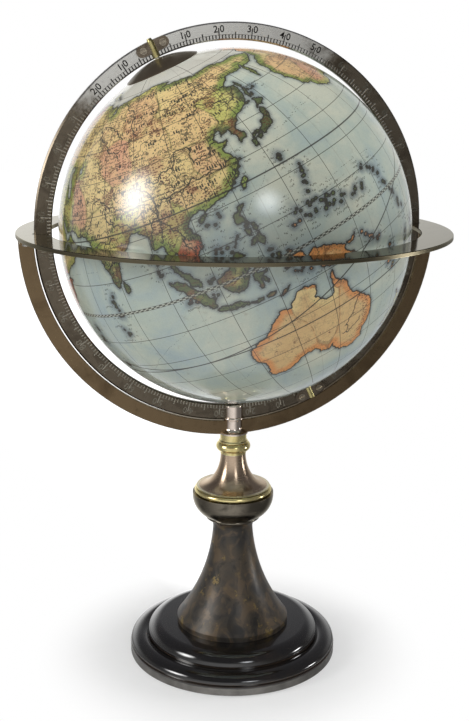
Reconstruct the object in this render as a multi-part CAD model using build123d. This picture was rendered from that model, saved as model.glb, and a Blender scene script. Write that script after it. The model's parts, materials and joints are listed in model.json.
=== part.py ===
"""Desktop globe on a turned stand: a ball in a meridian ring, held by a half ring and a horizon ring.

Millimetres, +Z up. The origin is the centre of the stand's footprint, on the table. The meridian ring
stands in the XZ plane, and the stand's axis is Z. What leans with the globe is drawn in its polar frame,
with the north pole along +Z, and is then leaned over and lifted into place.
"""
import os
from math import sqrt

from build123d import *

# Ball, its paper and its poles
globe_diameter = 228.6
axis_tilt = 25.2
gore_count = 12
gore_latitude = 80.0
paper_thickness = 0.3
paste_gap = 0.1
shell_wall = 3.0
hoop_height = 16.0
hoop_wall = 3.0
cap_half_angle = 12.0
cap_thickness = 0.8
axle_diameter = 2.8
bush_plug_diameter = 10.0
bush_flange_diameter = 22.0
bush_flange_thickness = 3.0
spacer_diameter = 4.8

# Meridian ring and its pole clamps
meridian_gap = 4.6
meridian_width = 11.1
meridian_thickness = 4.0
meridian_chamfer = 0.9
axle_end_wall = 1.0
clamp_length = 22.0
clamp_width = 7.4
clamp_thickness = 1.4
clamp_edge_gap = 0.2
clamp_rib_wall = 0.75
clamp_screw_spacing = 13.6
clamp_screw_diameter = 2.4
clamp_head_diameter = 4.4
clamp_head_height = 1.0
clamp_slot_width = 0.6
clamp_slot_depth = 0.5

# Half ring, horizon ring and what joins them
ring_gap = 0.7
half_ring_width = 9.6
half_ring_chamfer = 0.4
horizon_gap = 6.7
horizon_width = 20.4
horizon_thickness = 2.5
horizon_chamfer = 0.4
notch_side_gap = 0.5
notch_end_gap = 1.3
foot_length = 20.0
foot_thickness = 2.4
foot_screw_spacing = 13.0
foot_screw_diameter = 3.0
foot_screw_bite = 1.8
foot_head_diameter = 5.2
foot_head_height = 1.5
pad_length = 10.0
pad_sink = 0.5

# Slotted post
fork_neck_diameter = 11.9
fork_sleeve_diameter = 13.0
fork_bead_diameter = 15.3
fork_bead_height = 1.7
fork_foot_diameter = 20.0
fork_foot_lip = 0.9
fork_foot_rise = 3.5
fork_sleeve_drop = 1.0
fork_top_round = 0.8
fork_spigot_diameter = 10.8
fork_spigot_length = 18.0
fork_web = 4.0
ring_sink = 0.4
ring_screw_diameter = 3.0
ring_screw_bite = 5.0
ring_head_diameter = 5.4
ring_head_height = 2.8

# Turned stand, from the table up
felt_thickness = 1.2
felt_margin = 2.0
disc_diameter = 144.4
disc_height = 6.3
disc_round = 0.5
groove_depth = 0.9
groove_height = 1.0
lower_mould_diameter = 143.6
lower_crest_diameter = 128.0
lower_mould_height = 5.4
lower_mould_sweep = 118.0
upper_mould_diameter = 119.6
upper_crest_diameter = 102.0
upper_mould_rise = 0.5
upper_mould_height = 7.7
seat_margin = 2.0
recess_diameter = 26.0
recess_depth = 10.5
boss_wall = 6.0
base_wall = 5.0
column_foot_diameter = 78.0
column_foot_lip = 3.6
column_neck_diameter = 27.4
column_bow = 5.6
column_height = 76.7
column_cap_height = 7.0
column_wall = 3.5
column_neck_solid = 12.0
step_ring_diameter = 37.8
step_ring_height = 2.3
knop_bulge = 17.0
knop_diameter = 56.0
knop_height = 16.6
knop_shoulder = 1.9
rim_diameter = 53.4
rim_bead_height = 3.4
rim_fillet_height = 1.2
rim_fillet_inset = 1.1
bell_height = 23.2
bell_neck_diameter = 17.2
bell_rim_inset = 0.5
lip_diameter = 17.6
lip_height = 1.8
astragal_diameter = 23.5
astragal_bead_height = 6.6
ferrule_diameter = 18.1
ferrule_height = 6.0
ferrule_step = 0.8
ferrule_step_height = 1.4
rod_diameter = 6.0
rod_tail = 1.6
nut_across_flats = 10.0
nut_height = 5.0
washer_diameter = 18.0
washer_thickness = 1.5

# Clearances
running_fit = 0.05
screw_fit = 0.02
slip_fit = 0.05
rod_clearance = 0.2
moving_gap = 0.3

# Radii of the nested rings, outward from the globe
globe_radius = globe_diameter / 2
shell_radius = globe_radius - paper_thickness - paste_gap
shell_inside = shell_radius - shell_wall
cap_inside = globe_radius + paste_gap
cap_outside = cap_inside + cap_thickness
meridian_inner = globe_radius + meridian_gap
meridian_outer = meridian_inner + meridian_width
half_ring_inner = meridian_outer + ring_gap
half_ring_outer = half_ring_inner + half_ring_width
pad_floor = half_ring_inner + pad_sink
horizon_inner = globe_radius + horizon_gap
horizon_outer = horizon_inner + horizon_width
slot_width = meridian_thickness + 2 * moving_gap
half_ring_thickness = slot_width - 2 * slip_fit

# Heights of the stacked stand pieces
disc_top = felt_thickness + disc_height
lower_mould_low = disc_top + groove_height
lower_mould_top = lower_mould_low + lower_mould_height
upper_mould_low = lower_mould_top + upper_mould_rise
base_top = upper_mould_low + upper_mould_height
column_top = base_top + column_height
step_ring_top = column_top + step_ring_height
knop_top = step_ring_top + knop_height
rim_top = knop_top + rim_bead_height + rim_fillet_height
bell_top = rim_top + bell_height
astragal_top = bell_top + lip_height + astragal_bead_height
ferrule_top = astragal_top + ferrule_height
ring_seat = ferrule_top - ring_sink
globe_height = ring_seat + half_ring_outer
fork_spigot_low = ferrule_top - fork_spigot_length
fork_web_low = ring_seat - fork_web
recess_top = felt_thickness + recess_depth
rod_low = recess_top - washer_thickness - nut_height - rod_tail
rod_high = fork_web_low - ring_head_height - rod_tail
rod_hole_radius = rod_diameter / 2 + rod_clearance

# The globe's axis lies in the front face of the meridian ring, whose mid plane holds the stand's axis
globe_place = Pos(0, -meridian_thickness / 2, globe_height) * Rot(0, -axis_tilt, 0)
ring_place = Pos(0, 0, globe_height)
axle_radius = axle_diameter / 2
axle_bore = axle_radius + running_fit
axle_reach = meridian_outer - axle_end_wall - moving_gap
clamp_middle = meridian_outer - clamp_edge_gap - clamp_width / 2


def turn(*edges):
    """Solid of revolution about Z from a closed half profile in radius and height."""
    return revolve(Plane.XZ * make_face(edges), Axis.Z)


def run(*points):
    """Straight runs through points in radius and height."""
    return Polyline(*points)


def ovolo(crest, outer, low, high, sweep=90):
    """Convex quarter round, upright at its outer foot and level at its crest, or swept on past the crest."""
    return EllipticalCenterArc((crest, low), outer - crest, high - low, 0, arc_size=sweep)


def cove(inner, outer, low, high):
    """Concave quarter round, upright at its inner top and level at its outer foot."""
    return EllipticalCenterArc((outer, high), outer - inner, high - low, 180, arc_size=90)


def bead(radius, low, high):
    """Half round that stands out by half its height, with its crest at the given radius."""
    half = (high - low) / 2
    return CenterArc((radius - half, low + half), half, -90, 180)


def tube(radius, low, high, bore=0.0):
    """Plain cylinder about Z between two heights, with a bore if one is given."""
    solid = Pos(0, 0, (low + high) / 2) * Cylinder(radius, high - low)
    if bore:
        solid -= Pos(0, 0, (low + high) / 2) * Cylinder(bore, high - low)
    return solid


def upright_ring(inner, outer, front, back, chamfer_size, sweep=360):
    """Flat ring about the Y axis, with its outer and inner corners broken."""
    c = chamfer_size
    section = run(
        (inner + c, front), (outer - c, front), (outer, front + c), (outer, back - c),
        (outer - c, back), (inner + c, back), (inner, back - c), (inner, front + c), (inner + c, front),
    )
    return revolve(make_face(section), Axis.Y, sweep)


# Stand: foot, felt and what clamps the stack together
def make_base_foot():
    disc = disc_diameter / 2
    lower = lower_mould_diameter / 2
    upper = upper_mould_diameter / 2
    seat = column_foot_diameter / 2 + seat_margin
    low_curve = ovolo(
        lower_crest_diameter / 2, lower, lower_mould_low, lower_mould_top, lower_mould_sweep
    )
    high_curve = ovolo(upper_crest_diameter / 2, upper, upper_mould_low, base_top)
    valley = low_curve @ 1
    foot = turn(
        run(
            low_curve @ 0, (lower - groove_depth, lower_mould_low), (lower - groove_depth, disc_top),
            (disc - disc_round, disc_top), (disc, disc_top - disc_round), (disc, felt_thickness),
            (recess_diameter / 2, felt_thickness), (recess_diameter / 2, recess_top),
            (rod_hole_radius, recess_top), (rod_hole_radius, base_top), high_curve @ 1,
        ),
        high_curve,
        run(
            high_curve @ 0, (upper - groove_depth, upper_mould_low),
            (upper - groove_depth, valley.Y), valley,
        ),
        low_curve,
    )
    boss = recess_diameter / 2 + boss_wall
    wide = lower - groove_depth - base_wall
    narrow = upper - groove_depth - base_wall
    hollow = turn(
        run(
            (boss, felt_thickness), (wide, felt_thickness), (wide, disc_top),
            (narrow, valley.Y - base_wall / 2), (seat, base_top - base_wall), (boss, base_top - base_wall),
            (boss, felt_thickness),
        )
    )
    return foot - hollow


def make_felt_pad():
    return tube(disc_diameter / 2 - felt_margin, 0, felt_thickness, recess_diameter / 2)


def make_base_washer():
    return tube(washer_diameter / 2, recess_top - washer_thickness, recess_top, rod_hole_radius)


def make_base_nut():
    low = recess_top - washer_thickness - nut_height
    outline = RegularPolygon(nut_across_flats / 2, 6, major_radius=False)
    bore = Circle(rod_diameter / 2 + screw_fit)
    return extrude(Pos(0, 0, low) * (outline - bore), nut_height)


def make_tie_rod():
    return tube(rod_diameter / 2, rod_low, rod_high)


# Stand: flared column, step ring, knop, bell and brass rings
def make_column():
    foot = column_foot_diameter / 2
    neck = column_neck_diameter / 2
    cap = step_ring_diameter / 2 - groove_depth
    lip_top = base_top + column_foot_lip
    cap_low = column_top - column_cap_height
    cavity_top = cap_low - column_neck_solid

    def flare(inset, low, high):
        middle = ((foot + neck) / 2 - column_bow - inset, (low + high) / 2)
        return ThreePointArc((foot - inset, low), middle, (neck - inset, high))

    outside = flare(0, lip_top, cap_low)
    inside = flare(column_wall, lip_top, cavity_top)
    top_curve = EllipticalCenterArc((cap, cap_low), cap - neck, column_top - cap_low, 90, arc_size=90)
    return turn(
        outside,
        top_curve,
        run(
            top_curve @ 0, (rod_hole_radius, column_top), (rod_hole_radius, cavity_top), inside @ 1,
        ),
        inside,
        run(inside @ 0, (foot - column_wall, base_top), (foot, base_top), outside @ 0),
    )


def make_step_ring():
    radius = step_ring_diameter / 2
    crest = bead(radius, column_top, step_ring_top)
    return turn(
        crest,
        run(crest @ 1, (rod_hole_radius, step_ring_top), (rod_hole_radius, column_top), crest @ 0),
    )


def make_knop():
    centre = knop_diameter / 2 - knop_bulge
    equator = knop_top - knop_shoulder
    seat = centre + sqrt(knop_bulge**2 - (equator - step_ring_top) ** 2)
    shoulder = centre + sqrt(knop_bulge**2 - knop_shoulder**2)
    side = ThreePointArc((seat, step_ring_top), (knop_diameter / 2, equator), (shoulder, knop_top))
    return turn(
        side,
        run((shoulder, knop_top), (rod_hole_radius, knop_top), (rod_hole_radius, step_ring_top), side @ 0),
    )


def make_bell_rim():
    radius = rim_diameter / 2
    fillet = radius - rim_fillet_inset
    bead_top = knop_top + rim_bead_height
    crest = bead(radius, knop_top, bead_top)
    return turn(
        crest,
        run(
            crest @ 1, (fillet - rim_fillet_inset, bead_top), (fillet, bead_top + rim_fillet_height / 2),
            (fillet - bell_rim_inset, rim_top), (rod_hole_radius, rim_top), (rod_hole_radius, knop_top),
            crest @ 0,
        ),
    )


def make_bell():
    neck = bell_neck_diameter / 2
    edge = rim_diameter / 2 - rim_fillet_inset - bell_rim_inset
    spigot = fork_spigot_diameter / 2 + slip_fit
    side = cove(neck, edge, rim_top, bell_top)
    return turn(
        side,
        run(
            side @ 1, (rod_hole_radius, rim_top), (rod_hole_radius, fork_spigot_low),
            (spigot, fork_spigot_low), (spigot, bell_top), side @ 0,
        ),
    )


def make_astragal():
    bore = fork_spigot_diameter / 2 + slip_fit
    lip_top = bell_top + lip_height
    crest = bead(astragal_diameter / 2, lip_top, astragal_top)
    lip = lip_diameter / 2
    return turn(
        crest,
        run(crest @ 1, (bore, astragal_top), (bore, bell_top), (lip, bell_top), (lip, lip_top), crest @ 0),
    )


def ring_slot(width):
    """Slot for the two upright rings, open at the top and rounded to the half ring below."""
    return ring_place * (Rot(90, 0, 0) * Cylinder(half_ring_outer + screw_fit, width))


def make_ferrule():
    radius = ferrule_diameter / 2
    bore = fork_spigot_diameter / 2 + slip_fit
    step = radius + ferrule_step
    step_top = astragal_top + ferrule_step_height
    body = turn(
        run(
            (bore, astragal_top), (step, astragal_top), (step, step_top - ferrule_step), (radius, step_top),
            (radius, ferrule_top), (bore, ferrule_top), (bore, astragal_top),
        )
    )
    return body - ring_slot(slot_width)


# Stand: slotted post, half ring and horizon ring
def make_fork_post():
    neck = fork_neck_diameter / 2
    sleeve = fork_sleeve_diameter / 2
    foot = fork_foot_diameter / 2
    spigot = fork_spigot_diameter / 2
    bead_low = globe_height - meridian_outer
    bead_top = bead_low + fork_bead_height
    sleeve_top = globe_height - meridian_inner - fork_sleeve_drop
    lip_top = ferrule_top + fork_foot_lip
    flare = cove(neck, foot, lip_top, lip_top + fork_foot_rise)
    crest = bead(fork_bead_diameter / 2, bead_low, bead_top)
    crown = CenterArc((sleeve - fork_top_round, sleeve_top - fork_top_round), fork_top_round, 0, 90)
    body = turn(
        flare,
        run(flare @ 0, (neck, bead_low), crest @ 0),
        crest,
        run(crest @ 1, (sleeve, bead_top), crown @ 0),
        crown,
        run(
            crown @ 1, (0, sleeve_top), (0, fork_spigot_low), (spigot, fork_spigot_low),
            (spigot, ferrule_top), (foot, ferrule_top), flare @ 1,
        ),
    )
    body -= ring_slot(slot_width)
    body -= tube(rod_diameter / 2 + screw_fit, fork_spigot_low, fork_web_low)
    return body - tube(ring_screw_diameter / 2 + slip_fit, fork_web_low, globe_height)


def make_ring_screw():
    head = tube(ring_head_diameter / 2, fork_web_low - ring_head_height, fork_web_low)
    return head + tube(ring_screw_diameter / 2, fork_web_low, ring_seat + ring_screw_bite)


def foot_spots():
    """The four screw places under the horizon ring, two at each end of the half ring."""
    reach = (half_ring_inner + half_ring_outer) / 2
    return [(side * reach, along * foot_screw_spacing / 2) for side in (-1, 1) for along in (-1, 1)]


def make_half_ring():
    half = half_ring_thickness / 2
    under = -horizon_thickness
    ring = upright_ring(half_ring_inner, half_ring_outer, -half, half, half_ring_chamfer, 180)
    ring -= Pos(0, 0, half_ring_outer + under) * Box(
        3 * half_ring_outer, slot_width, 2 * half_ring_outer
    )
    foot_inner = half_ring_inner + moving_gap
    foot_outer = half_ring_outer - half_ring_chamfer
    for side in (-1, 1):
        ring += Pos(side * (foot_inner + foot_outer) / 2, 0, under - foot_thickness / 2) * Box(
            foot_outer - foot_inner, foot_length, foot_thickness
        )
    for x, y in foot_spots():
        hole = Cylinder(foot_screw_diameter / 2 + slip_fit, foot_thickness)
        ring -= Pos(x, y, under - foot_thickness / 2) * hole
    ring -= Pos(0, 0, -pad_floor / 2) * Box(pad_length + 2 * slip_fit, slot_width, pad_floor)
    ring = ring_place * ring
    screw_hole = ring_screw_diameter / 2 + screw_fit
    return ring - tube(screw_hole, ring_seat - ring_sink, ring_seat + ring_screw_bite)


def make_horizon_ring():
    c = horizon_chamfer
    low = globe_height - horizon_thickness
    section = run(
        (horizon_inner, low), (horizon_outer, low), (horizon_outer, globe_height - c),
        (horizon_outer - c, globe_height), (horizon_inner + c, globe_height),
        (horizon_inner, globe_height - c), (horizon_inner, low),
    )
    ring = turn(section)
    width = meridian_thickness + 2 * notch_side_gap
    reach = meridian_outer + notch_end_gap - width / 2
    notch = Circle(width / 2) + Pos(-reach / 2, 0) * Rectangle(reach, width)
    for turned in (0, 180):
        ring -= Rot(0, 0, turned) * extrude(Pos(reach, 0, low) * notch, horizon_thickness)
    for x, y in foot_spots():
        hole = Cylinder(foot_screw_diameter / 2 + screw_fit, foot_screw_bite)
        ring -= Pos(x, y, low + foot_screw_bite / 2) * hole
    return ring


def make_horizon_screws():
    seat = globe_height - horizon_thickness - foot_thickness
    tip = seat + foot_thickness + foot_screw_bite
    head = tube(foot_head_diameter / 2, seat - foot_head_height, seat)
    screw = head + tube(foot_screw_diameter / 2, seat, tip)
    return Compound(children=[Pos(x, y, 0) * screw for x, y in foot_spots()])


def make_rest_pad():
    """Pad let into a flat pocket of the half ring, hollowed on top to the meridian ring's round."""
    depth = pad_floor - slip_fit
    block = Pos(0, 0, -depth / 2) * Box(pad_length, slot_width - 2 * moving_gap, depth)
    return ring_place * (block - Rot(90, 0, 0) * Cylinder(meridian_outer + moving_gap, slot_width))


# Meridian: graduated ring, pole clamps and their screws, in the polar frame
def clamp_spots():
    return [(side * clamp_screw_spacing / 2, end) for side in (-1, 1) for end in (0, 180)]


def make_meridian_ring():
    ring = upright_ring(meridian_inner, meridian_outer, 0, meridian_thickness, meridian_chamfer)
    groove_length = meridian_outer - axle_end_wall
    ring -= Cylinder(axle_bore, 2 * groove_length)
    hole = Rot(90, 0, 0) * Cylinder(clamp_screw_diameter / 2 + screw_fit, 2 * meridian_thickness)
    for x, end in clamp_spots():
        ring -= Rot(0, end, 0) * Pos(x, meridian_thickness / 2, clamp_middle) * hole
    return globe_place * ring


def make_clamp(end):
    """Strap across the ring's face: a round-ended plate with a half-round rib over the axle's end."""
    outline = Pos(0, clamp_middle) * SlotOverall(clamp_length, clamp_width)
    plate = extrude(Plane.XZ * outline, clamp_thickness)
    rib_low = meridian_inner + moving_gap
    rib = tube(axle_bore + clamp_rib_wall, rib_low, meridian_outer)
    front = Pos(0, -meridian_outer / 2, 0) * Box(3 * meridian_outer, meridian_outer, 3 * meridian_outer)
    strap = plate + (rib & front)
    strap -= tube(axle_bore, 0, meridian_outer - axle_end_wall)
    for side in (-1, 1):
        hole = Rot(90, 0, 0) * Cylinder(clamp_screw_diameter / 2 + slip_fit, 4 * clamp_thickness)
        strap -= Pos(side * clamp_screw_spacing / 2, 0, clamp_middle) * hole
    return globe_place * Rot(0, end, 0) * strap


def make_clamp_screws():
    """Slotted screws: each head lies on a clamp, and its shank runs through the ring."""
    shank_length = clamp_thickness + meridian_thickness
    head = Pos(0, 0, clamp_head_height / 2) * Cylinder(clamp_head_diameter / 2, clamp_head_height)
    slot_floor = clamp_head_height - clamp_slot_depth / 2
    head -= Pos(0, 0, slot_floor) * Box(clamp_head_diameter, clamp_slot_width, clamp_slot_depth)
    shank = Pos(0, 0, -shank_length / 2) * Cylinder(clamp_screw_diameter / 2, shank_length)
    screw = Rot(90, 0, 0) * (head + shank)
    spots = [Rot(0, end, 0) * Pos(x, -clamp_thickness, clamp_middle) for x, end in clamp_spots()]
    return Compound(children=[globe_place * spot * screw for spot in spots])


# Globe: shells, hoop, axle and bushes, in the polar frame
def make_shell(end):
    """Half of the ball, with a hole at its pole for the bush."""
    inner = CenterArc((0, 0), shell_inside, 0, 90)
    outer = CenterArc((0, 0), shell_radius, 0, 90)
    half = turn(inner, Line(inner @ 1, outer @ 1), outer, Line(outer @ 0, inner @ 0))
    half -= tube(bush_plug_diameter / 2 + slip_fit, 0, globe_radius)
    return globe_place * Rot(0, end, 0) * half


def make_equator_hoop():
    outer = sqrt(shell_inside**2 - (hoop_height / 2) ** 2) - slip_fit
    return globe_place * tube(outer, -hoop_height / 2, hoop_height / 2, outer - hoop_wall)


def make_bush(end):
    flange = bush_flange_diameter / 2
    flange_top = sqrt(shell_inside**2 - flange**2) - slip_fit
    plug = bush_plug_diameter / 2
    plug_top = sqrt(shell_radius**2 - plug**2)
    bush = tube(flange, flange_top - bush_flange_thickness, flange_top) + tube(plug, 0, plug_top)
    bush -= tube(plug, 0, flange_top - bush_flange_thickness)
    bush -= tube(axle_radius + screw_fit, 0, globe_radius)
    return globe_place * Rot(0, end, 0) * bush


def make_axle():
    return globe_place * Cylinder(axle_radius, 2 * axle_reach)


def make_cap(end):
    """Dished cover over the tips of the gores."""
    edge = 90 - cap_half_angle
    inner = CenterArc((0, 0), cap_inside, edge, cap_half_angle)
    outer = CenterArc((0, 0), cap_outside, edge, cap_half_angle)
    cap = turn(inner, Line(inner @ 1, outer @ 1), outer, Line(outer @ 0, inner @ 0))
    return globe_place * Rot(0, end, 0) * (cap - Cylinder(axle_radius + slip_fit, 3 * globe_radius))


def make_spacer(end):
    high = sqrt((meridian_inner - moving_gap) ** 2 - (spacer_diameter / 2) ** 2)
    return globe_place * Rot(0, end, 0) * tube(
        spacer_diameter / 2, cap_outside, high, axle_radius + screw_fit
    )


def make_gore(index):
    """One printed paper gore: a lune between two meridians, cut short under the polar caps."""
    inner = CenterArc((0, 0), globe_radius - paper_thickness, -gore_latitude, 2 * gore_latitude)
    outer = CenterArc((0, 0), globe_radius, -gore_latitude, 2 * gore_latitude)
    section = make_face([inner, Line(inner @ 1, outer @ 1), outer, Line(outer @ 0, inner @ 0)])
    step = 360 / gore_count
    return globe_place * Rot(0, 0, index * step) * revolve(Plane.XZ * section, Axis.Z, step)


def all_pieces():
    """Every piece of the object by its name."""
    pieces = {
        "base_foot": make_base_foot(),
        "felt_pad": make_felt_pad(),
        "base_washer": make_base_washer(),
        "base_nut": make_base_nut(),
        "tie_rod": make_tie_rod(),
        "column": make_column(),
        "step_ring": make_step_ring(),
        "knop": make_knop(),
        "bell_rim": make_bell_rim(),
        "bell": make_bell(),
        "astragal": make_astragal(),
        "ferrule": make_ferrule(),
        "fork_post": make_fork_post(),
        "ring_screw": make_ring_screw(),
        "half_ring": make_half_ring(),
        "rest_pad": make_rest_pad(),
        "horizon_ring": make_horizon_ring(),
        "horizon_screws": make_horizon_screws(),
        "meridian_ring": make_meridian_ring(),
        "clamp_screws": make_clamp_screws(),
        "equator_hoop": make_equator_hoop(),
        "axle": make_axle(),
    }
    for name, end in (("north", 0), ("south", 180)):
        pieces[name + "_clamp"] = make_clamp(end)
        pieces[name + "_shell"] = make_shell(end)
        pieces[name + "_bush"] = make_bush(end)
        pieces[name + "_cap"] = make_cap(end)
        pieces[name + "_spacer"] = make_spacer(end)
    for index in range(gore_count):
        pieces[f"gore_{index + 1:02d}"] = make_gore(index)
    return pieces


os.makedirs("parts", exist_ok=True)
for node, shape in all_pieces().items():
    export_step(shape, f"parts/{node}.step")
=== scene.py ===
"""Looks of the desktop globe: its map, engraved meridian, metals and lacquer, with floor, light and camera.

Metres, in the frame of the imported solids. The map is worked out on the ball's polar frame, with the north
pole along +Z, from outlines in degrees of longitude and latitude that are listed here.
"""
import json
import math
import random

import bmesh
import bpy
import numpy as np
from mathutils import Matrix, Vector, kdtree


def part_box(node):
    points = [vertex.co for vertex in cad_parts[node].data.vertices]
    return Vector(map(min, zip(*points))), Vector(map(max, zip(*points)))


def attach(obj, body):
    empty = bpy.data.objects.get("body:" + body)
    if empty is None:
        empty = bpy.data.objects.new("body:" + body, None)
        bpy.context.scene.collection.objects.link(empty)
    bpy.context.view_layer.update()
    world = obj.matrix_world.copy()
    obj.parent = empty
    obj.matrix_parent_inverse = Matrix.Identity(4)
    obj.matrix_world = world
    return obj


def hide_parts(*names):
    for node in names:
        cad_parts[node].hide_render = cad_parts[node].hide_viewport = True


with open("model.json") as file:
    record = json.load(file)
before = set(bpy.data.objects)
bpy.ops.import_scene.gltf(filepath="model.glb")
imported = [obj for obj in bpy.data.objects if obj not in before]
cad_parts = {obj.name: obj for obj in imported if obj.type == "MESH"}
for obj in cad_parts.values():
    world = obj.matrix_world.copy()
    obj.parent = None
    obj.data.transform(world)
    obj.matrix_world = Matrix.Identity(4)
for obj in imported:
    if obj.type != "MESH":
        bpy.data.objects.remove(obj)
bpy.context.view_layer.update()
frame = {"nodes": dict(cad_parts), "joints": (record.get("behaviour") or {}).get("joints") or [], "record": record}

MM = 0.001

# Ball and rings, read from the frame
spin = next(joint for joint in frame["joints"] if joint["name"] == "globe_spin")
globe_centre = Vector(spin["pos_m"])
pole = Vector(spin["axis"]).normalized()
polar = Matrix.Translation(globe_centre) @ Matrix.Rotation(math.atan2(pole.x, pole.z), 4, "Y")
gore_nodes = sorted(name for name in frame["nodes"] if name.startswith("gore_"))
gore_reach = [(v.co - globe_centre).length for v in frame["nodes"][gore_nodes[0]].data.vertices]
globe_radius = max(gore_reach)
paper_inside = min(gore_reach)
ring_reach = [
    math.hypot(v.co.x - globe_centre.x, v.co.z - globe_centre.z)
    for v in frame["nodes"]["meridian_ring"].data.vertices
]
ring_inner = min(ring_reach)
ring_outer = max(ring_reach)
ring_front, ring_back = [corner.y - globe_centre.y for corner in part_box("meridian_ring")]

# Map layout: the gores' seams, the printed lines and how finely the paper is divided
GORE_SPAN = 360 / len(gore_nodes)
GORE_LATITUDE = 80.0
GORE_COLUMNS = 80
GORE_ROWS = 424
BACK_STEP = 8
SEAM_LONGITUDE = 220.0
HOUR_LINE_LONGITUDE = 228.7
HOUR_LINE_STEP = 15.0
PARALLEL_STEP = 10.0
TROPIC = 23.45
SOLSTICE_LONGITUDE = 90.0
MM_PER_DEGREE = math.radians(globe_radius / MM)

# Bake map of a gore: the printed side over most of the square, and its back in a strip at the right
BAKE_MARGIN = 0.004
BAKE_FRONT = (0.95, 0.992)
BAKE_BACK = (0.036, 0.99)
BAKE_BACK_START = 0.96

# How old charts misplace Asia, with the bands of degrees over which each error sets in or fades out
OLD_REACH = 7.5
OLD_REACH_LONGITUDES = ((96, 118), (168, 156))
OLD_REACH_LATITUDES = (14, 25)
OLD_SINK = 0.32
OLD_SINK_LONGITUDES = ((55, 70), (200, 190))
OLD_NORTH = 54.0
AUSTRALIA_CORNER = (153.3, -11.3)
AUSTRALIA_STRETCH = 1.15

# How outlines wander, in degrees and shares of a run, and small islands, in degrees
MAP_SEED = 7
COAST_STEP = 0.3
COAST_SWAY = 0.2
RIVER_SWAY = 0.28
TRACK_SWAY = 0.05
LEAST_SQUEEZE = 0.15
ISLE_ALONG = (0.1, 0.9)
ISLE_SCATTER = 0.9
ISLE_SIZES = (0.24, 0.55)
ISLE_WIDTH = 1.3
ISLE_CORNERS = 6
ISLE_UNEVEN = (0.7, 1.2)

# How provinces' borders wander and how far the washes go past the coast, in millimetres
BORDER_SEED = 3
BORDER_SWAY = 1.3
BORDER_WAVE = 9.0
BORDER_WAVES = 5
BORDER_PHASE = 6.28
WASH_PAST_COAST = 2.0
FAR = 40.0

# Printed marks in millimetres: lines, the equator's ladder, and short strokes scattered over the plate
THIN_LINE = 0.2
BOLD_LINE = 0.42
LADDER = 0.85
# Rows of ticks: pitch, from row to row, height, length of a run, and the share of the runs that is kept
NOTE_ROWS = (0.8, 2.7, 0.95, 6.0, 0.47)
FINE_ROWS = (0.8, 2.3, 0.95, 5.0, 0.52)
BOLD_ROWS = (1.5, 7.6, 2.1, 11.0, 0.44)
TICK_WIDTH = 0.3
ROW_JITTER = 0.4
ROW_JUMP = 7.31
TICKS_KEPT = 0.88
# Hills and tufts: spacing across and along, half the length and thickness of a stroke, and its bend
HILL_STROKES = (2.0, 1.5, 0.7, 0.3, 0.5)
TUFT_STROKES = (1.5, 1.6, 0.26, 0.46)

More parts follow.
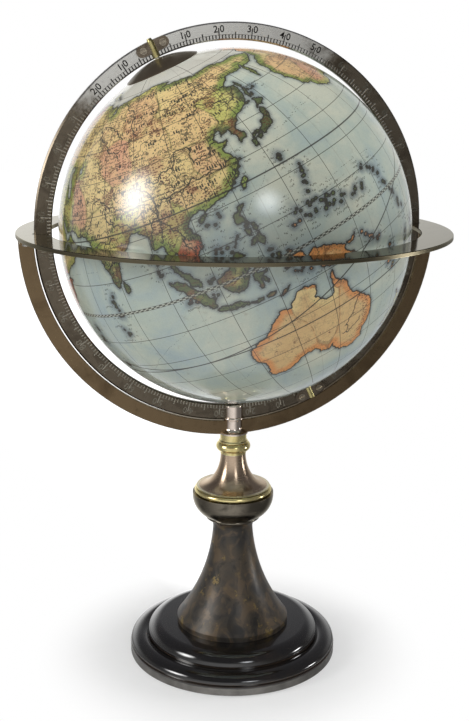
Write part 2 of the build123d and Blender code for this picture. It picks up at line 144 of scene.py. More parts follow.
# Coasts, clockwise or not, as (longitude, latitude)
EURASIA = [
    (190, 66), (181, 63), (179, 62.2), (170.5, 60), (164, 60), (163.3, 58), (162.9, 56.2), (160, 53),
    (156.7, 51), (155.7, 54), (156.8, 57.5), (161.5, 60.5), (163.5, 62.4), (160, 61.8), (155, 59.4),
    (149, 59.5), (142.5, 59.2), (138, 56), (135.3, 54.8), (137.5, 53.7), (141.3, 53), (140.3, 48.5),
    (135.2, 44.2), (131.9, 43.2), (129.7, 41), (127.5, 39.6), (129.4, 37), (129, 35.2), (126.4, 34.4),
    (126.6, 37), (125, 38.2), (125, 39.8), (121.3, 38.8), (121.8, 40.8), (118, 39.2), (119, 37.3),
    (122.5, 37.2), (119.4, 35.2), (120.8, 32.8), (121.9, 31.2), (121.9, 29.5), (120, 26.3), (117, 23.6),
    (114.2, 22.3), (110.6, 21.3), (110.1, 20.3), (109.6, 21.6), (108, 21.5), (105.8, 19.2), (108.8, 15.5),
    (109.3, 12), (107, 10.4), (104.8, 8.7), (105, 10.2), (102.7, 11.8), (100.9, 13.3), (99.9, 12),
    (99.2, 9.3), (100.4, 7.2), (103.3, 4.3), (104.2, 1.4), (101.3, 2.8), (100.3, 5.8), (98.3, 8.2),
    (98.6, 11.5), (97.6, 16.2), (95.3, 15.8), (94.3, 16.3), (94.3, 18.5), (92, 21.3), (90.5, 22.4),
    (87.2, 21.5), (86.4, 20), (82.3, 16.7), (80.2, 15.3), (80.2, 13), (79.8, 10.3), (77.6, 8.1),
    (76.2, 10), (74.4, 14.5), (72.8, 19), (72.7, 21.2), (70.5, 20.8), (69, 22.3), (70.2, 22.9),
    (67, 24.8), (61.5, 25.1), (57.2, 26.8), (54.5, 26.6), (51, 28.3), (48.8, 30.2), (48, 29.5),
    (50.2, 26.5), (51.3, 25.9), (51.6, 24.2), (54.5, 24.3), (56.3, 26.2), (58.7, 23.4), (59.8, 22.4),
    (57.7, 18.9), (55, 17), (52, 15.6), (45, 12.8), (43.4, 12.7), (42.7, 16.5), (39.1, 21.5), (35, 28.1),
    (34.9, 29.5), (34.2, 31.3), (35.5, 34), (36, 36.5), (32.5, 36), (30.5, 36.5), (28, 36.8), (26.3, 39),
    (26, 40.7), (23.8, 40.2), (24, 38), (22.8, 36.5), (21.2, 37.8), (19.4, 41.5), (16.5, 43.4),
    (13.6, 45.6), (12.3, 44.9), (14, 42.5), (18.4, 40), (16.8, 40.4), (16, 38), (15.3, 40), (12, 42),
    (9, 44.3), (5, 43.3), (3.2, 42.3), (0.2, 40), (-0.5, 38.2), (-2.2, 36.8), (-5.6, 36), (-8.9, 37),
    (-9.4, 38.7), (-8.9, 43), (-1.8, 43.4), (-1.2, 46), (-4.6, 48.4), (-1.5, 48.7), (1.7, 50.9),
    (4.5, 52.5), (7, 53.6), (8.3, 55), (8.2, 57), (10.6, 57.7), (10.8, 56), (10.9, 54.3), (14.3, 54),
    (18.6, 54.6), (21, 55.3), (21.6, 57.5), (24, 57.2), (23.6, 59), (29.5, 60), (22.9, 60), (21.3, 61),
    (25.3, 65), (22, 65.7), (17.3, 61.5), (18.8, 60), (16.5, 57.5), (14.3, 55.6), (12.8, 55.6),
    (11.2, 59), (8, 58), (5.3, 59.5), (5, 62), (10.5, 64.3), (14.5, 68), (20, 70), (25.7, 71.1),
    (31, 70.2), (41, 67.5), (38, 66.4), (33, 66.7), (34.8, 64.4), (38, 64), (40.5, 64.6), (40, 66),
    (44, 66.1), (44, 68.4), (54, 68.4), (60.5, 69.8), (67, 69), (66.8, 71), (69, 73), (72.8, 71),
    (72, 67), (74, 68), (73, 71.5), (75, 72.8), (80.5, 73.5), (87, 75), (98, 76.2), (104.3, 77.7),
    (113, 75.8), (109, 73.8), (113.5, 73.6), (123, 73), (127, 72.5), (129, 71.2), (139.5, 72),
    (150, 71.6), (160, 69.7), (170, 69.9), (180, 69),
]
AFRICA = [
    (32.5, 31.2), (29.8, 31.2), (25, 31.6), (20, 32.5), (20, 30.5), (15.3, 32.3), (11, 33.2), (10.9, 37),
    (3, 36.8), (-2.2, 35.1), (-5.9, 35.8), (-9.7, 31.5), (-13, 27.8), (-17, 21), (-16.4, 16),
    (-17.5, 14.7), (-16.7, 12.4), (-13.2, 8.9), (-7.6, 4.4), (-2, 4.8), (4.4, 6.3), (6.1, 4.3),
    (8.8, 4.5), (9.7, 2.3), (8.8, -1), (12.2, -5.9), (13.4, -9), (11.8, -16), (14.5, -22.5), (15.2, -27),
    (18.3, -33), (18.4, -34.3), (20, -34.8), (25.7, -34), (30.5, -31), (32.9, -26.5), (35.4, -24),
    (34.8, -20), (40.6, -15.5), (40.4, -10.5), (39, -6.5), (41.5, -1.8), (46, 2.5), (51.2, 11.8),
    (44.5, 10.5), (43.2, 12), (39.5, 15.5), (37.2, 19.5), (35.5, 24), (32.6, 29.8), (34.3, 27.8),
    (35.2, 29.6), (34.6, 31.2),
]
NORTH_AMERICA = [
    (-168, 65.6), (-173, 61), (-181, 57.5), (-186.5, 52), (-188, 45.5), (-184.5, 40.5), (-177, 36.5),
    (-168, 35), (-158, 37), (-148, 42), (-139, 47), (-131, 51.5), (-123.5, 48.3), (-124.4, 43),
    (-122.4, 37.5), (-120.6, 34.5),
    (-117, 32.4), (-112, 25), (-110, 22.9), (-112.5, 28), (-114.7, 31.7), (-109.5, 26), (-105.5, 20.5),
    (-99.8, 16.8), (-94.5, 16.2), (-87.6, 13), (-85.7, 10), (-80.5, 7.3), (-76.8, 7.6), (-79.5, 9.5),
    (-83.5, 11), (-83.3, 15), (-88.5, 15.9), (-87, 21.4), (-90.5, 20.8), (-94.5, 18.2), (-97.5, 22.5),
    (-97.3, 27.5), (-94, 29.6), (-89.3, 29.2), (-84, 30), (-82.8, 27.8), (-80.9, 25.2), (-80.2, 27),
    (-81.4, 31), (-75.6, 35.3), (-74, 40.6), (-70, 42), (-66, 44.5), (-61, 46), (-65, 49), (-60, 50),
    (-55.7, 52.5), (-61.5, 56.5), (-64.5, 60.3), (-70, 61), (-77.7, 62.4), (-77.5, 57), (-79.5, 52),
    (-86, 55.8), (-92.7, 57.2), (-94.5, 60), (-87, 64.5), (-82, 68.5), (-95, 68), (-108, 68),
    (-115, 68.5), (-125, 70), (-135, 69.3), (-148, 70.3), (-156.6, 71.3), (-163, 69), (-162, 66.5),
]
SOUTH_AMERICA = [
    (-77.5, 8.6), (-75.5, 10.7), (-71.7, 12.3), (-64, 10.6), (-60.5, 8.5), (-52, 5), (-50, 0.5),
    (-44, -2.6), (-35.2, -5.5), (-35, -9), (-39, -13.5), (-39.8, -19.5), (-42, -22.9), (-48.5, -26),
    (-49.8, -29.3), (-53.8, -34), (-58.3, -34.2), (-57.2, -37.6), (-62.2, -39), (-65, -42), (-67.5, -46),
    (-65.8, -48), (-69, -51.5), (-68.3, -53), (-65.2, -54.8), (-71, -54.5), (-75, -51), (-75.5, -46.5),
    (-73.3, -41.5), (-73.5, -37), (-71.5, -30), (-70.3, -18.5), (-76.2, -14), (-81.2, -6), (-80, -2.8),
    (-80.1, 0.5), (-77.3, 4), (-77.9, 7.2),
]
AUSTRALIA = [
    (113.7, -22.5), (117, -20.6), (121.5, -18.5), (122.3, -17), (125.5, -14.3), (129, -14.9),
    (130.8, -12.4), (132.6, -11.3), (136.8, -12.2), (135.5, -15), (139.5, -17.5), (141, -17),
    (141.7, -13), (142.5, -10.8), (143.7, -14.3), (145.5, -15.5), (146.3, -18.9), (149.2, -21.2),
    (153.1, -25.3), (153.5, -28.6), (151.5, -33), (150, -37.4), (146.4, -39), (143.5, -38.8),
    (140, -37.5), (138.4, -35.4), (137.8, -33), (136, -34.8), (131.2, -31.5), (126, -32.3),
    (123.6, -33.9), (118, -35), (115.1, -34.3), (115.7, -31.7), (114, -27.5), (113.4, -24.5),
]
ISLANDS = [
    [(131, -0.8), (134.1, -0.8), (135, -3.3), (138, -1.7), (141, -2.6), (145.7, -4.9), (147.8, -6.2),
     (147.3, -7), (150.8, -10.3), (147, -9.6), (143.3, -8.3), (142.5, -9.3), (138.3, -8.3), (138, -5.6),
     (133, -4), (132.8, -2.8), (134, -2.3), (131.3, -1.3)],
    [(109.1, 1.6), (111.3, 2.5), (113.2, 3.2), (115.3, 5.2), (117, 7), (119.2, 5.2), (117.7, 4),
     (118.9, 1), (117.5, 0.7), (116.5, -2.8), (114.6, -4.1), (111.8, -3.3), (110.1, -1.4), (109, 0.3)],
    [(95.3, 5.7), (97.7, 5.2), (100.4, 2.9), (103.5, 0), (104.6, -2.2), (106, -3), (105.8, -5.7),
     (104.5, -5.8), (102.2, -3.9), (100.3, -0.9), (98.8, 1.7), (96.5, 3.7)],
    [(105.3, -6.7), (106.8, -6.1), (108.6, -6.7), (110.9, -6.4), (112.7, -6.9), (114.5, -7.8),
     (114.4, -8.7), (111, -8.2), (108.2, -7.8), (106.4, -7.4)],
    [(119.5, -5.5), (119.5, -3.4), (118.8, -2.6), (119.8, 0.5), (121, 1.2), (124.8, 1.5), (123, 0.4),
     (120.3, 0.4), (120.2, -0.9), (123.2, -0.9), (121.5, -1.9), (122.5, -4), (122, -4.8), (121, -2.7),
     (120.4, -3), (120.4, -5.5)],
    [(120.5, 18.3), (122.2, 18.4), (121.6, 15.9), (123.9, 13), (120.7, 13.8), (119.9, 16.3)],
    [(122, 7), (123.6, 8.6), (125.5, 9.7), (126.3, 7.5), (125.4, 5.7), (123.9, 7.4)],
    [(117.2, 8.3), (119.4, 11.4), (119.5, 10.5), (117.6, 8.3)],
    [(122.2, 10.5), (122, 11.8), (123.2, 11.5), (123.3, 9.4), (122.5, 9.7)],
    [(124.3, 12.5), (125.3, 12.5), (125.7, 11), (125, 10.2), (124.4, 11.2)],
    [(130.9, 34), (132.8, 35.6), (136, 35.7), (136.8, 37.4), (139, 38), (140, 40.6), (141.3, 41.4),
     (142, 39.5), (140.9, 37), (140.8, 35.7), (138.8, 34.7), (136.9, 34.4), (135.8, 33.5), (135, 34.7)],
    [(130, 33.5), (131.7, 33.5), (131.4, 31.4), (130.2, 31.3), (129.8, 32.7)],
    [(132.4, 33.8), (134.5, 34.2), (134.2, 33.3), (133, 32.8)],
    [(140.1, 41.5), (141.3, 43.2), (141.7, 45.4), (145.3, 43.8), (143.3, 42), (141.2, 42.4)],
    [(142, 46), (142.1, 49), (142.6, 54.3), (143.5, 50), (143.2, 49.2), (142.9, 46.7)],
    [(120.1, 23), (121.5, 25.2), (121.9, 24.8), (120.9, 22)],
    [(108.7, 19.3), (110.6, 20), (110.2, 18.5), (109.2, 18.3)],
    [(79.8, 8.3), (80.2, 9.7), (81.3, 8.5), (81.8, 7), (80.6, 6), (79.9, 6.8)],
    [(115.1, -8.3), (117.5, -8.2), (119, -8.4), (118.8, -8.9), (116, -8.9)],
    [(119.9, -8.5), (122.9, -8.2), (122.6, -8.8), (120.2, -9)],
    [(123.6, -10.3), (125.2, -9), (127.2, -8.4), (126.5, -9.2)],
    [(127.6, 2.1), (128.6, 1.4), (128.2, 0.3), (127.9, -0.8), (127.4, 0.8)],
    [(127.9, -3.1), (130.8, -3), (130.2, -3.6), (128.2, -3.5)],
    [(148.4, -5.7), (151.5, -4.9), (152.3, -4.3), (151.8, -5.6), (149.8, -6.3)],
    [(172.7, -34.5), (175.5, -37), (178.5, -37.7), (177, -39.5), (175.3, -41.6), (173.8, -39.3),
     (174.6, -37)],
    [(172.7, -40.6), (174.2, -41.6), (172.8, -43.8), (170.7, -45.9), (168.4, -46.6), (166.5, -45.9),
     (170.5, -43)],
    [(49.3, -12), (50.4, -15.7), (47.2, -25), (45.2, -25.5), (43.4, -22), (44.4, -16.2)],
    [(-5.2, 50.1), (1.3, 51.2), (1.6, 52.8), (0, 53.5), (-2, 55.8), (-2, 57.6), (-4, 57.6), (-3.1, 58.6),
     (-5, 58.5), (-5.6, 56.3), (-3.2, 54.9), (-4.6, 53.2), (-5.2, 51.8), (-3, 51.3)],
    [(-6.2, 53.5), (-6.3, 52.2), (-10, 51.6), (-9.8, 54.2), (-7.4, 55.3), (-5.6, 54.6)],
    [(-22, 64), (-18, 63.4), (-13.7, 65), (-16, 66.4), (-21, 65.8), (-24, 65.5)],
    [(-73, 78), (-60, 82), (-32, 83.5), (-18, 80), (-20, 75), (-22, 70.5), (-32, 68), (-40, 65),
     (-43.5, 60), (-49, 62), (-53.5, 67), (-51, 70), (-55, 72), (-60, 76), (-68, 76)],
    [(-66, 62), (-64.5, 66), (-70, 70), (-80, 73.5), (-88, 73), (-78, 70), (-73, 66), (-77, 64.5)],
    [(-117, 69.5), (-105, 69.2), (-105, 73), (-117, 73)],
    [(51.5, 71.5), (56, 74), (68, 76.9), (58, 73), (57, 70.7)],
    [(11, 79), (22, 80), (17, 76.6)],
    [(-84.9, 21.9), (-80, 23.1), (-74.3, 20.2), (-77.7, 19.9)],
    [(-74.4, 18.4), (-73, 19.9), (-68.4, 18.6), (-71.5, 17.8)],
    [(-59.3, 47.7), (-55.6, 51.6), (-52.8, 47.3)],
    [(8.3, 39), (9.7, 39.2), (9.5, 42.8), (8.5, 41.5)],
    [(12.5, 38), (15.6, 38.2), (15.1, 36.7)],
]
INNER_SEAS = [
    [(28.2, 41.6), (31.4, 41.3), (35, 42), (38.5, 41), (41.6, 41.7), (37.4, 44.8), (35.3, 45.3),
     (33.6, 44.5), (32.7, 46.1), (30.5, 46), (28.6, 43.5)],
    [(47.5, 45.5), (51, 46.8), (53, 45.2), (50.5, 44.3), (52.8, 41), (53.8, 37), (50, 37.4), (48.8, 41)],
    [(58.5, 45.5), (61, 46.5), (61.3, 44.2), (59, 43.8)],
    [(-92, 46.8), (-85, 46.6), (-86, 43.5), (-83, 42), (-79.5, 43.3), (-84, 45.8), (-88, 48.5)],
]
# Strings of small islands: first end, last end, how many
ISLAND_CHAINS = [
    ((145.5, 43.6), (155.5, 50.4), 8), ((124.5, 24.6), (130, 30), 8),
    ((144.8, 13.3), (145.6, 20.4), 8), ((134.5, 7.4), (163, 5.6), 22), ((137, 10.4), (152, 8.6), 14),
    ((166, 11), (172, 5.8), 10), ((173, 3), (179, -8.5), 10), ((154.8, -6), (162, -10.6), 9),
    ((166.8, -14.8), (169.5, -20), 7), ((164, -20.2), (167, -22.3), 5), ((177.5, -18), (180, -16.6), 4),
    ((-155.4, 19.4), (-159.8, 22), 5), ((73, 7), (73.2, -0.6), 9), ((71.5, -5.5), (72.5, -7.4), 4),
    ((92.8, 13.4), (93.8, 7), 7), ((55.4, -21), (57.6, -20.2), 3), ((55, -4.6), (53.5, -10), 5),
    ((-172, -13.8), (-175, -21), 6), ((-149.5, -17.6), (-138, -18.5), 12), ((-140, -9), (-138.6, -10.5), 4),
    ((-17.8, 28.6), (-13.6, 28.6), 5), ((-31, 39.4), (-25.4, 37.8), 5), ((-61.5, 17), (-61, 11), 8),
    ((-91, 0), (-89.4, -0.9), 4), ((-24.8, 16.8), (-23, 15), 4), ((122.6, 13), (122.6, 12.2), 3),
    ((106, -2.6), (107.9, -3), 3), ((105.6, 1), (107.9, 3.6), 4), ((98.8, -1.2), (100.2, -3), 4),
    ((117.4, 18.2), (112.2, 16.4), 5), ((111.8, 10.2), (115.6, 7.8), 6), ((130.2, -6), (134.6, -6.4), 6),
    ((126.4, 4.2), (125.4, 2.6), 4), ((141.4, 27), (142.2, 24.4), 4), ((128.8, 0), (130.8, 0.6), 4),
]
RIVERS = [
    [(91, 34), (97, 32.5), (100, 27), (104, 29), (111, 30.3), (116, 30), (121.5, 31.5)],
    [(97, 35), (103.5, 36), (107, 40.6), (111, 39.5), (110.5, 35), (115, 35.2), (118.5, 38)],
    [(112, 50), (120, 53), (127, 50), (131, 47.8), (137, 50), (140.8, 53)],
    [(107, 54), (114, 60), (121, 60.5), (129.5, 62), (123.5, 67), (127, 72)],
    [(95, 51.5), (92, 56), (93, 60), (88, 66), (85.5, 70), (82, 73)],
    [(86, 48), (76, 53), (70, 58), (66, 62), (68, 66.4), (72, 67)],
    [(86.5, 50.5), (83, 55), (78, 59), (69.5, 61)],
    [(81, 31.5), (76, 35), (72.5, 34), (71, 29.5), (68.3, 26), (67.6, 24.2)],
    [(78.5, 30.5), (80, 27), (84, 25.6), (88, 24.6), (90.2, 22.6)],
    [(83, 30), (90, 29.3), (95.4, 29.4), (92, 26.2), (89.8, 24)],
    [(97, 31), (99, 26), (101, 21), (104, 17.6), (105.6, 13), (106.6, 10)],
    [(97.4, 27), (96, 22), (94.8, 18.5), (95, 16.1)],
    [(98.6, 27.6), (98.8, 22), (97.7, 17)],
    [(74, 20), (78, 19), (81.4, 17.2)], [(76, 14), (78, 16), (80.6, 15.9)],
    [(81, 22.6), (76, 22), (72.8, 21.6)],
    [(33, 57), (44, 56), (49, 55), (46, 51), (46, 48.4), (48, 46)],
    [(8.5, 48), (16.5, 48.2), (19, 45.5), (25.5, 43.7), (29.5, 45.2)],
    [(39, 39), (38.4, 36.5), (41.5, 34.2), (44.5, 32), (48, 30.3)],
    [(33, 1), (31.5, 5), (32.5, 15), (33.6, 19), (30.8, 21.5), (32.6, 25), (31, 31)],
    [(27, -11), (25.5, -3), (24, 1.5), (19, 1.6), (16, -3), (12.6, -6)],
    [(-10, 9.6), (-4, 15), (0, 17), (4, 12), (6.5, 7.5), (6.2, 4.6)],
    [(24, -13), (25.5, -17.8), (30, -15.8), (35, -17.5), (36.2, -18.7)],
    [(-95, 47), (-91, 43), (-90, 38), (-91, 33), (-89.6, 29.4)],
    [(-111, 46), (-102, 47.5), (-97, 42.5), (-90.4, 38.8)],
    [(-117, 61), (-123, 63), (-128, 66), (-134.5, 69)],
    [(-73, -4), (-66, -3), (-60, -3.2), (-54, -2), (-50.5, 0)],
    [(-48, -18), (-53, -22), (-58.6, -27.3), (-60, -32), (-58.5, -34)],
    [(148, -32), (144, -34.4), (140, -35)], [(150, -23.6), (146, -27), (143, -30.5), (142, -34)],
]
HILLS = [
    [(72, 36), (78, 33), (84, 29), (90, 28), (97, 28.5)], [(70, 42), (78, 42), (88, 43.4), (95, 43)],
    [(84, 49), (92, 50), (100, 52)], [(107, 52), (115, 53), (124, 56), (132, 55)],
    [(59, 51), (59, 60), (65, 67)],
    [(104, 26), (103, 31), (101, 36), (94, 38)], [(98, 26), (99, 19), (101, 15)], [(108, 17), (104, 21)],
    [(73.6, 19), (75, 14), (77, 10)], [(48, 33), (54, 29)], [(40, 43.4), (46, 42)], [(110, 25), (117, 26)],
    [(6, 45), (13, 47)], [(-7, 32), (4, 35)], [(38, 14), (39, 7)], [(28, -31), (31, -26)],
    [(36, 0), (34, -9)],
    [(-148, 63), (-134, 60), (-120, 52), (-114, 46), (-107, 38), (-104, 29)], [(-84, 35), (-74, 44)],
    [(-75, 6), (-79, -3), (-74, -12), (-68, -18), (-70, -30), (-72, -43)],
    [(147, -37), (151, -30), (147, -22)], [(113, 35), (114, 40), (120, 45)], [(138, 36), (140, 39.5)],
    [(158, 54), (160, 58)], [(140, 62), (130, 66)],
]
# Ships' tracks over the open sea
TRACKS = [
    [(-150, 11), (-168, 12), (174, 13), (160, 13.6), (147, 13.4), (136, 14), (126, 13)],
    [(124, 15), (134, 22), (146, 31), (160, 35.5), (172, 36), (-172, 33)],
    [(55, -26), (70, -22), (84, -14), (96, -8.6), (104, -7.6)],
    [(58, -34), (80, -37), (100, -35), (108, -30)],
    [(160, -44), (158, -36), (163, -28), (172, -20), (178, -10)],
    [(-20, -30), (0, -37), (20, -38)], [(-10, 44), (-24, 28), (-28, 8), (-30, -12), (-36, -24)],
    [(-12, 47), (-36, 40), (-60, 34), (-72, 26)],
]
# Ink, washes and outline colours as sRGB, in the manner of hand-coloured prints
INK = (36, 34, 30)
INK_RED = (88, 40, 26)
SEA = (175, 187, 175)
SEA_BLUE = (156, 174, 176)
SEA_TAN = (197, 200, 181)
SEA_SHADE = (88, 106, 116)
SEA_ICE = (206, 202, 190)
PASTE = (110, 98, 76)
WASHES = {
    "ochre": (224, 192, 134), "peach": (222, 182, 132), "straw": (226, 201, 138), "rose": (214, 160, 124),
    "moss": (160, 164, 84), "lime": (192, 190, 104), "rust": (158, 98, 70), "tan": (212, 176, 120),
    "amber": (218, 146, 78), "leaf": (126, 146, 66), "fern": (74, 92, 52), "brick": (168, 84, 54),
}
# Provinces: longitude, latitude, wash, outline colour and how densely the plate is engraved there
PROVINCES = [
    (62, 56, "straw", "lime", 0.9), (75, 62, "ochre", "moss", 0.9), (95, 62, "peach", "lime", 1.0),
    (118, 64, "straw", "leaf", 1.0), (140, 64, "ochre", "leaf", 0.9), (160, 64, "straw", "leaf", 0.7),
    (178, 66, "straw", "leaf", 0.5), (159, 55, "moss", "leaf", 0.8), (85, 46, "rose", "lime", 1.0),
    (100, 46, "ochre", "moss", 1.0), (115, 46, "ochre", "leaf", 1.0), (130, 48, "lime", "leaf", 1.0),
    (90, 33, "ochre", "lime", 1.0), (104, 34, "straw", "ochre", 1.0), (114, 34, "peach", "leaf", 1.0),
    (108, 26, "ochre", "leaf", 1.0), (117, 27, "straw", "leaf", 1.0), (127, 37, "lime", "fern", 1.0),
    (70, 38, "straw", "moss", 1.0), (60, 33, "rose", "moss", 1.0), (53, 33, "lime", "leaf", 0.9),
    (46, 23, "straw", "moss", 0.4), (75, 27, "straw", "leaf", 1.0), (84, 24, "lime", "leaf", 1.0),
    (78, 17, "lime", "leaf", 1.0), (78, 11, "lime", "fern", 1.0), (96, 22, "straw", "leaf", 1.0),
    (101, 16, "lime", "leaf", 1.0), (106, 13, "rose", "brick", 1.0), (107, 19, "lime", "fern", 1.0),
    (101, 6, "moss", "fern", 0.8), (138, 37, "rust", "fern", 1.0), (143, 47, "moss", "fern", 0.9),
    (101, 0, "moss", "fern", 1.0), (114, 1, "moss", "fern", 1.0), (110, -7, "moss", "fern", 1.0),
    (121, -2, "moss", "fern", 1.0), (122, 13, "lime", "fern", 0.8), (136, -3, "amber", "amber", 0.6),
    (146, -8, "tan", "amber", 0.5), (121, -25, "tan", "amber", 0.25), (134, -22, "tan", "straw", 0.2),
    (146, -27, "tan", "amber", 0.25), (173, -41, "lime", "moss", 0.5), (-178, 47, "peach", "leaf", 0.7),
    (-164, 42, "rose", "moss", 0.7), (149, 10, "moss", "fern", 0.2), (168, 8, "lime", "fern", 0.2),
    (35, 57, "peach", "brick", 0.9),
    (22, 52, "lime", "leaf", 1.0), (4, 47, "rose", "brick", 1.0), (-4, 40, "straw", "amber", 1.0),
    (15, 62, "moss", "leaf", 0.8), (-3, 54, "rose", "brick", 0.9), (33, 39, "lime", "moss", 1.0),
    (0, 28, "ochre", "amber", 0.4), (25, 27, "straw", "moss", 0.5), (0, 13, "lime", "leaf", 0.7),
    (22, 8, "tan", "amber", 0.3), (40, 9, "rose", "brick", 0.7), (18, -12, "straw", "moss", 0.5),
    (32, -15, "peach", "amber", 0.5), (24, -28, "moss", "leaf", 0.6), (47, -19, "lime", "fern", 0.8),
    (-155, 64, "peach", "amber", 0.4), (-125, 60, "tan", "amber", 0.3), (-115, 45, "straw", "lime", 0.4),
    (-92, 40, "lime", "leaf", 0.8), (-80, 37, "rose", "brick", 0.9), (-75, 52, "moss", "leaf", 0.6),
    (-95, 60, "ochre", "moss", 0.4), (-103, 24, "amber", "brick", 0.9), (-88, 15, "lime", "fern", 0.9),
    (-77, 21, "rust", "fern", 0.8), (-66, 4, "straw", "moss", 0.6), (-58, -8, "lime", "leaf", 0.5),
    (-42, -12, "rose", "amber", 0.7), (-72, -12, "peach", "brick", 0.8), (-62, -24, "straw", "lime", 0.6),
    (-68, -40, "tan", "moss", 0.4), (-40, 72, "straw", "leaf", 0.2), (-19, 65, "lime", "fern", 0.6),
]

# Degree scale on the meridian ring's face, and the ring's grooves and holes
RING_CHAMFER = 0.9 * MM
TICK_HALF_WIDTH = 0.52 * MM
TICK_DEPTH = 0.14 * MM
TICK_LENGTHS = {10: 6.6 * MM, 5: 4.0 * MM, 1: 2.4 * MM}
TICK_END = 0.08 * MM
PAST_TICKS = 1.0
SCALE_LINE = 2.4 * MM
SCALE_LINE_HALF_WIDTH = 0.12 * MM
DIGIT_HEIGHT = 4.2 * MM
DIGIT_SHARE_OF_SIZE = 0.7
DIGIT_WEIGHT = 0.09 * MM
DIGIT_RADIUS_GAP = 7.0 * MM
DIGIT_SPREAD = 2.1 * MM
INLAY_PROUD = 0.02 * MM
SAME_SPOT = 1e-7
DIGIT_RESOLUTION = 3
AXLE_GROOVE = 1.45 * MM
GROOVE_SEGMENTS = 40
CLAMP_HOLE = 1.22 * MM
HOLE_SEGMENTS = 28
CLAMP_HOLE_SPACING = 13.6 * MM
CLAMP_HOLE_RADIUS = 126.1 * MM

# Domed covers over the poles, and the pin's head over the north clamp
DOME_WALL = 0.8 * MM
DOME_LIP = 0.4 * MM
DOME_CLEARANCE = 0.45 * MM
DOME_HOLE_FIT = 0.06 * MM
DOME_STEPS = 24
DOME_SEGMENTS = 128
PIN_HEAD_FOOT = 1.9 * MM
PIN_HEAD_TOP = 1.3 * MM
PIN_HEAD_HEIGHT = 1.5 * MM
PIN_HEAD_SEGMENTS = 32

# Angles in degrees past which an edge stays sharp
PAPER_SHARP = 40
RING_SHARP = 12
DOME_SHARP = 30

# Finishes: lathe lines, the foot's bare rim, the clamps' rib and the side where the ring has a painted reflection
LATHE_DEPTH = 0.01 * MM
ALONG_PROFILE = 0.25
BARE_RIM = (5.9 * MM, 6.3 * MM)
RIB_EDGE = (2.1 * MM, 2.4 * MM)
# Direction, tilted from the crown, of the painted reflection on the meridian ring's face
PAINTED_SHEEN_ANGLE = math.radians(15.0)
PAINTED_SHEEN_TOWARD = (math.sin(PAINTED_SHEEN_ANGLE), 0.0, math.cos(PAINTED_SHEEN_ANGLE))
EDGE_GAIN = 1.35
EDGE_LIFT = 18
CREASE_SAMPLES = 6
EDGE_SAMPLES = 4
FLAT_FROM = 0.99
# Metals: pale, deep and stained tone, least and most roughness, size of patches, and what sets each apart
METALS = {
    "steel": ((188, 186, 182), (150, 148, 144), (92, 88, 82), (0.18, 0.34), 0.012, {}),
    "bronze": ((200, 177, 153), (166, 143, 121), (96, 77, 63), (0.2, 0.3), 0.05,
               {"stained": 0.25, "turned": 0.85}),
    "brass": ((236, 220, 160), (206, 188, 124), (112, 96, 56), (0.1, 0.22), 0.02,
              {"stained": 0.3, "metallic": 0.88, "turned": 0.5}),
    "polished_bronze": ((92, 87, 72), (76, 71, 58), (58, 52, 42), (0.06, 0.14), 0.05,
                        {"wear": 0.9, "glance": 0.9, "rim": (102, 95, 77)}),
    "dark_bronze": ((118, 100, 76), (94, 78, 58), (66, 54, 40), (0.22, 0.38), 0.04,
                    {"axis": 1, "centre": tuple(globe_centre)}),
    "screw_bronze": ((140, 131, 116), (106, 97, 84), (54, 48, 40), (0.16, 0.28), 0.004, {"wear": 0.9}),
    "polished_post": ((228, 214, 202), (200, 184, 170), (120, 98, 82), (0.08, 0.18), 0.04,
                      {"stained": 0.2, "turned": 0.5}),
    "gunmetal": ((124, 117, 105), (70, 65, 57), (38, 34, 30), (0.14, 0.26), 0.012, {"turned": 0.5}),
    "dome_bronze": ((90, 80, 67), (70, 62, 51), (46, 40, 33), (0.3, 0.4), 0.03,
                    {"stained": 0.2, "metallic": 0.7}),
    "pin_brass": ((166, 158, 110), (130, 122, 80), (80, 72, 48), (0.26, 0.4), 0.004, {}),
}
# Nodes that look unlike the others of their slot
NODE_FINISHES = {
    "clamp_screws": "screw_bronze", "fork_post": "polished_post", "knop": "gunmetal",
    "step_ring": "gunmetal",
}

# Camera, as fitted to the photograph's ball, rings and foot
IMAGE_HEIGHT = 721
FOCAL_PIXELS = 1154.0
SENSOR = 36.0
NEAR_CLIP = 0.01
CAMERA_DISTANCE = 0.7545
CAMERA_RISE = 0.0992
CAMERA_AZIMUTH = 0.2588
CAMERA_PITCH = 0.2449
CAMERA_YAW = 0.0007
CAMERA_ROLL = 0.0059

# Studio: how bright mirrors see it, by degrees to the right of the camera as seen from the stand
STUDIO_TONES = [
    (-180, 1.0), (-168, 1.35), (-146, 0.9), (-112, 0.3), (-84, 0.24), (-58, 0.5), (-32, 0.8), (0, 0.9),
    (16, 0.8), (32, 0.42), (50, 0.17), (112, 0.1), (146, 0.45), (168, 0.75), (180, 1.0),
]
CEILING = (0.13, 0.13, 0.14, 1.0)
CEILING_RISE = (0.2, 0.5)
AMBIENT = 0.31
AMBIENT_TINT = (0.96, 0.98, 1.0, 1.0)
WHITE = (1.0, 1.0, 1.0, 1.0)
FLOOR_REACH = 4.0
FLOOR_FADE = (0.072, 0.14, 0.5, 1.0)
# Lamps: right, up and toward the camera from the ball, distance, size, power, colour, seen by mirrors or not
LAMPS = {
    "key": ((-0.866, 0.211, 0.452), 1.25, (0.74, 0.8), 22.0, (1.0, 0.995, 0.985), True),
    "front": ((0.325, 0.16, 0.93), 1.5, (0.62, 0.56), 6.4, (0.94, 0.97, 1.0), True),
    "low": ((0.97, -0.165, -0.05), 1.0, (0.34, 0.16), 4.0, (1.0, 1.0, 1.0), True),
    "top": ((0.05, 0.95, 0.2), 1.3, (0.6, 0.6), 38.0, (1.0, 1.0, 1.0), False),
    "right": ((0.95, 0.25, -0.1), 1.4, (0.5, 0.9), 16.0, (1.0, 1.0, 1.0), False),
}


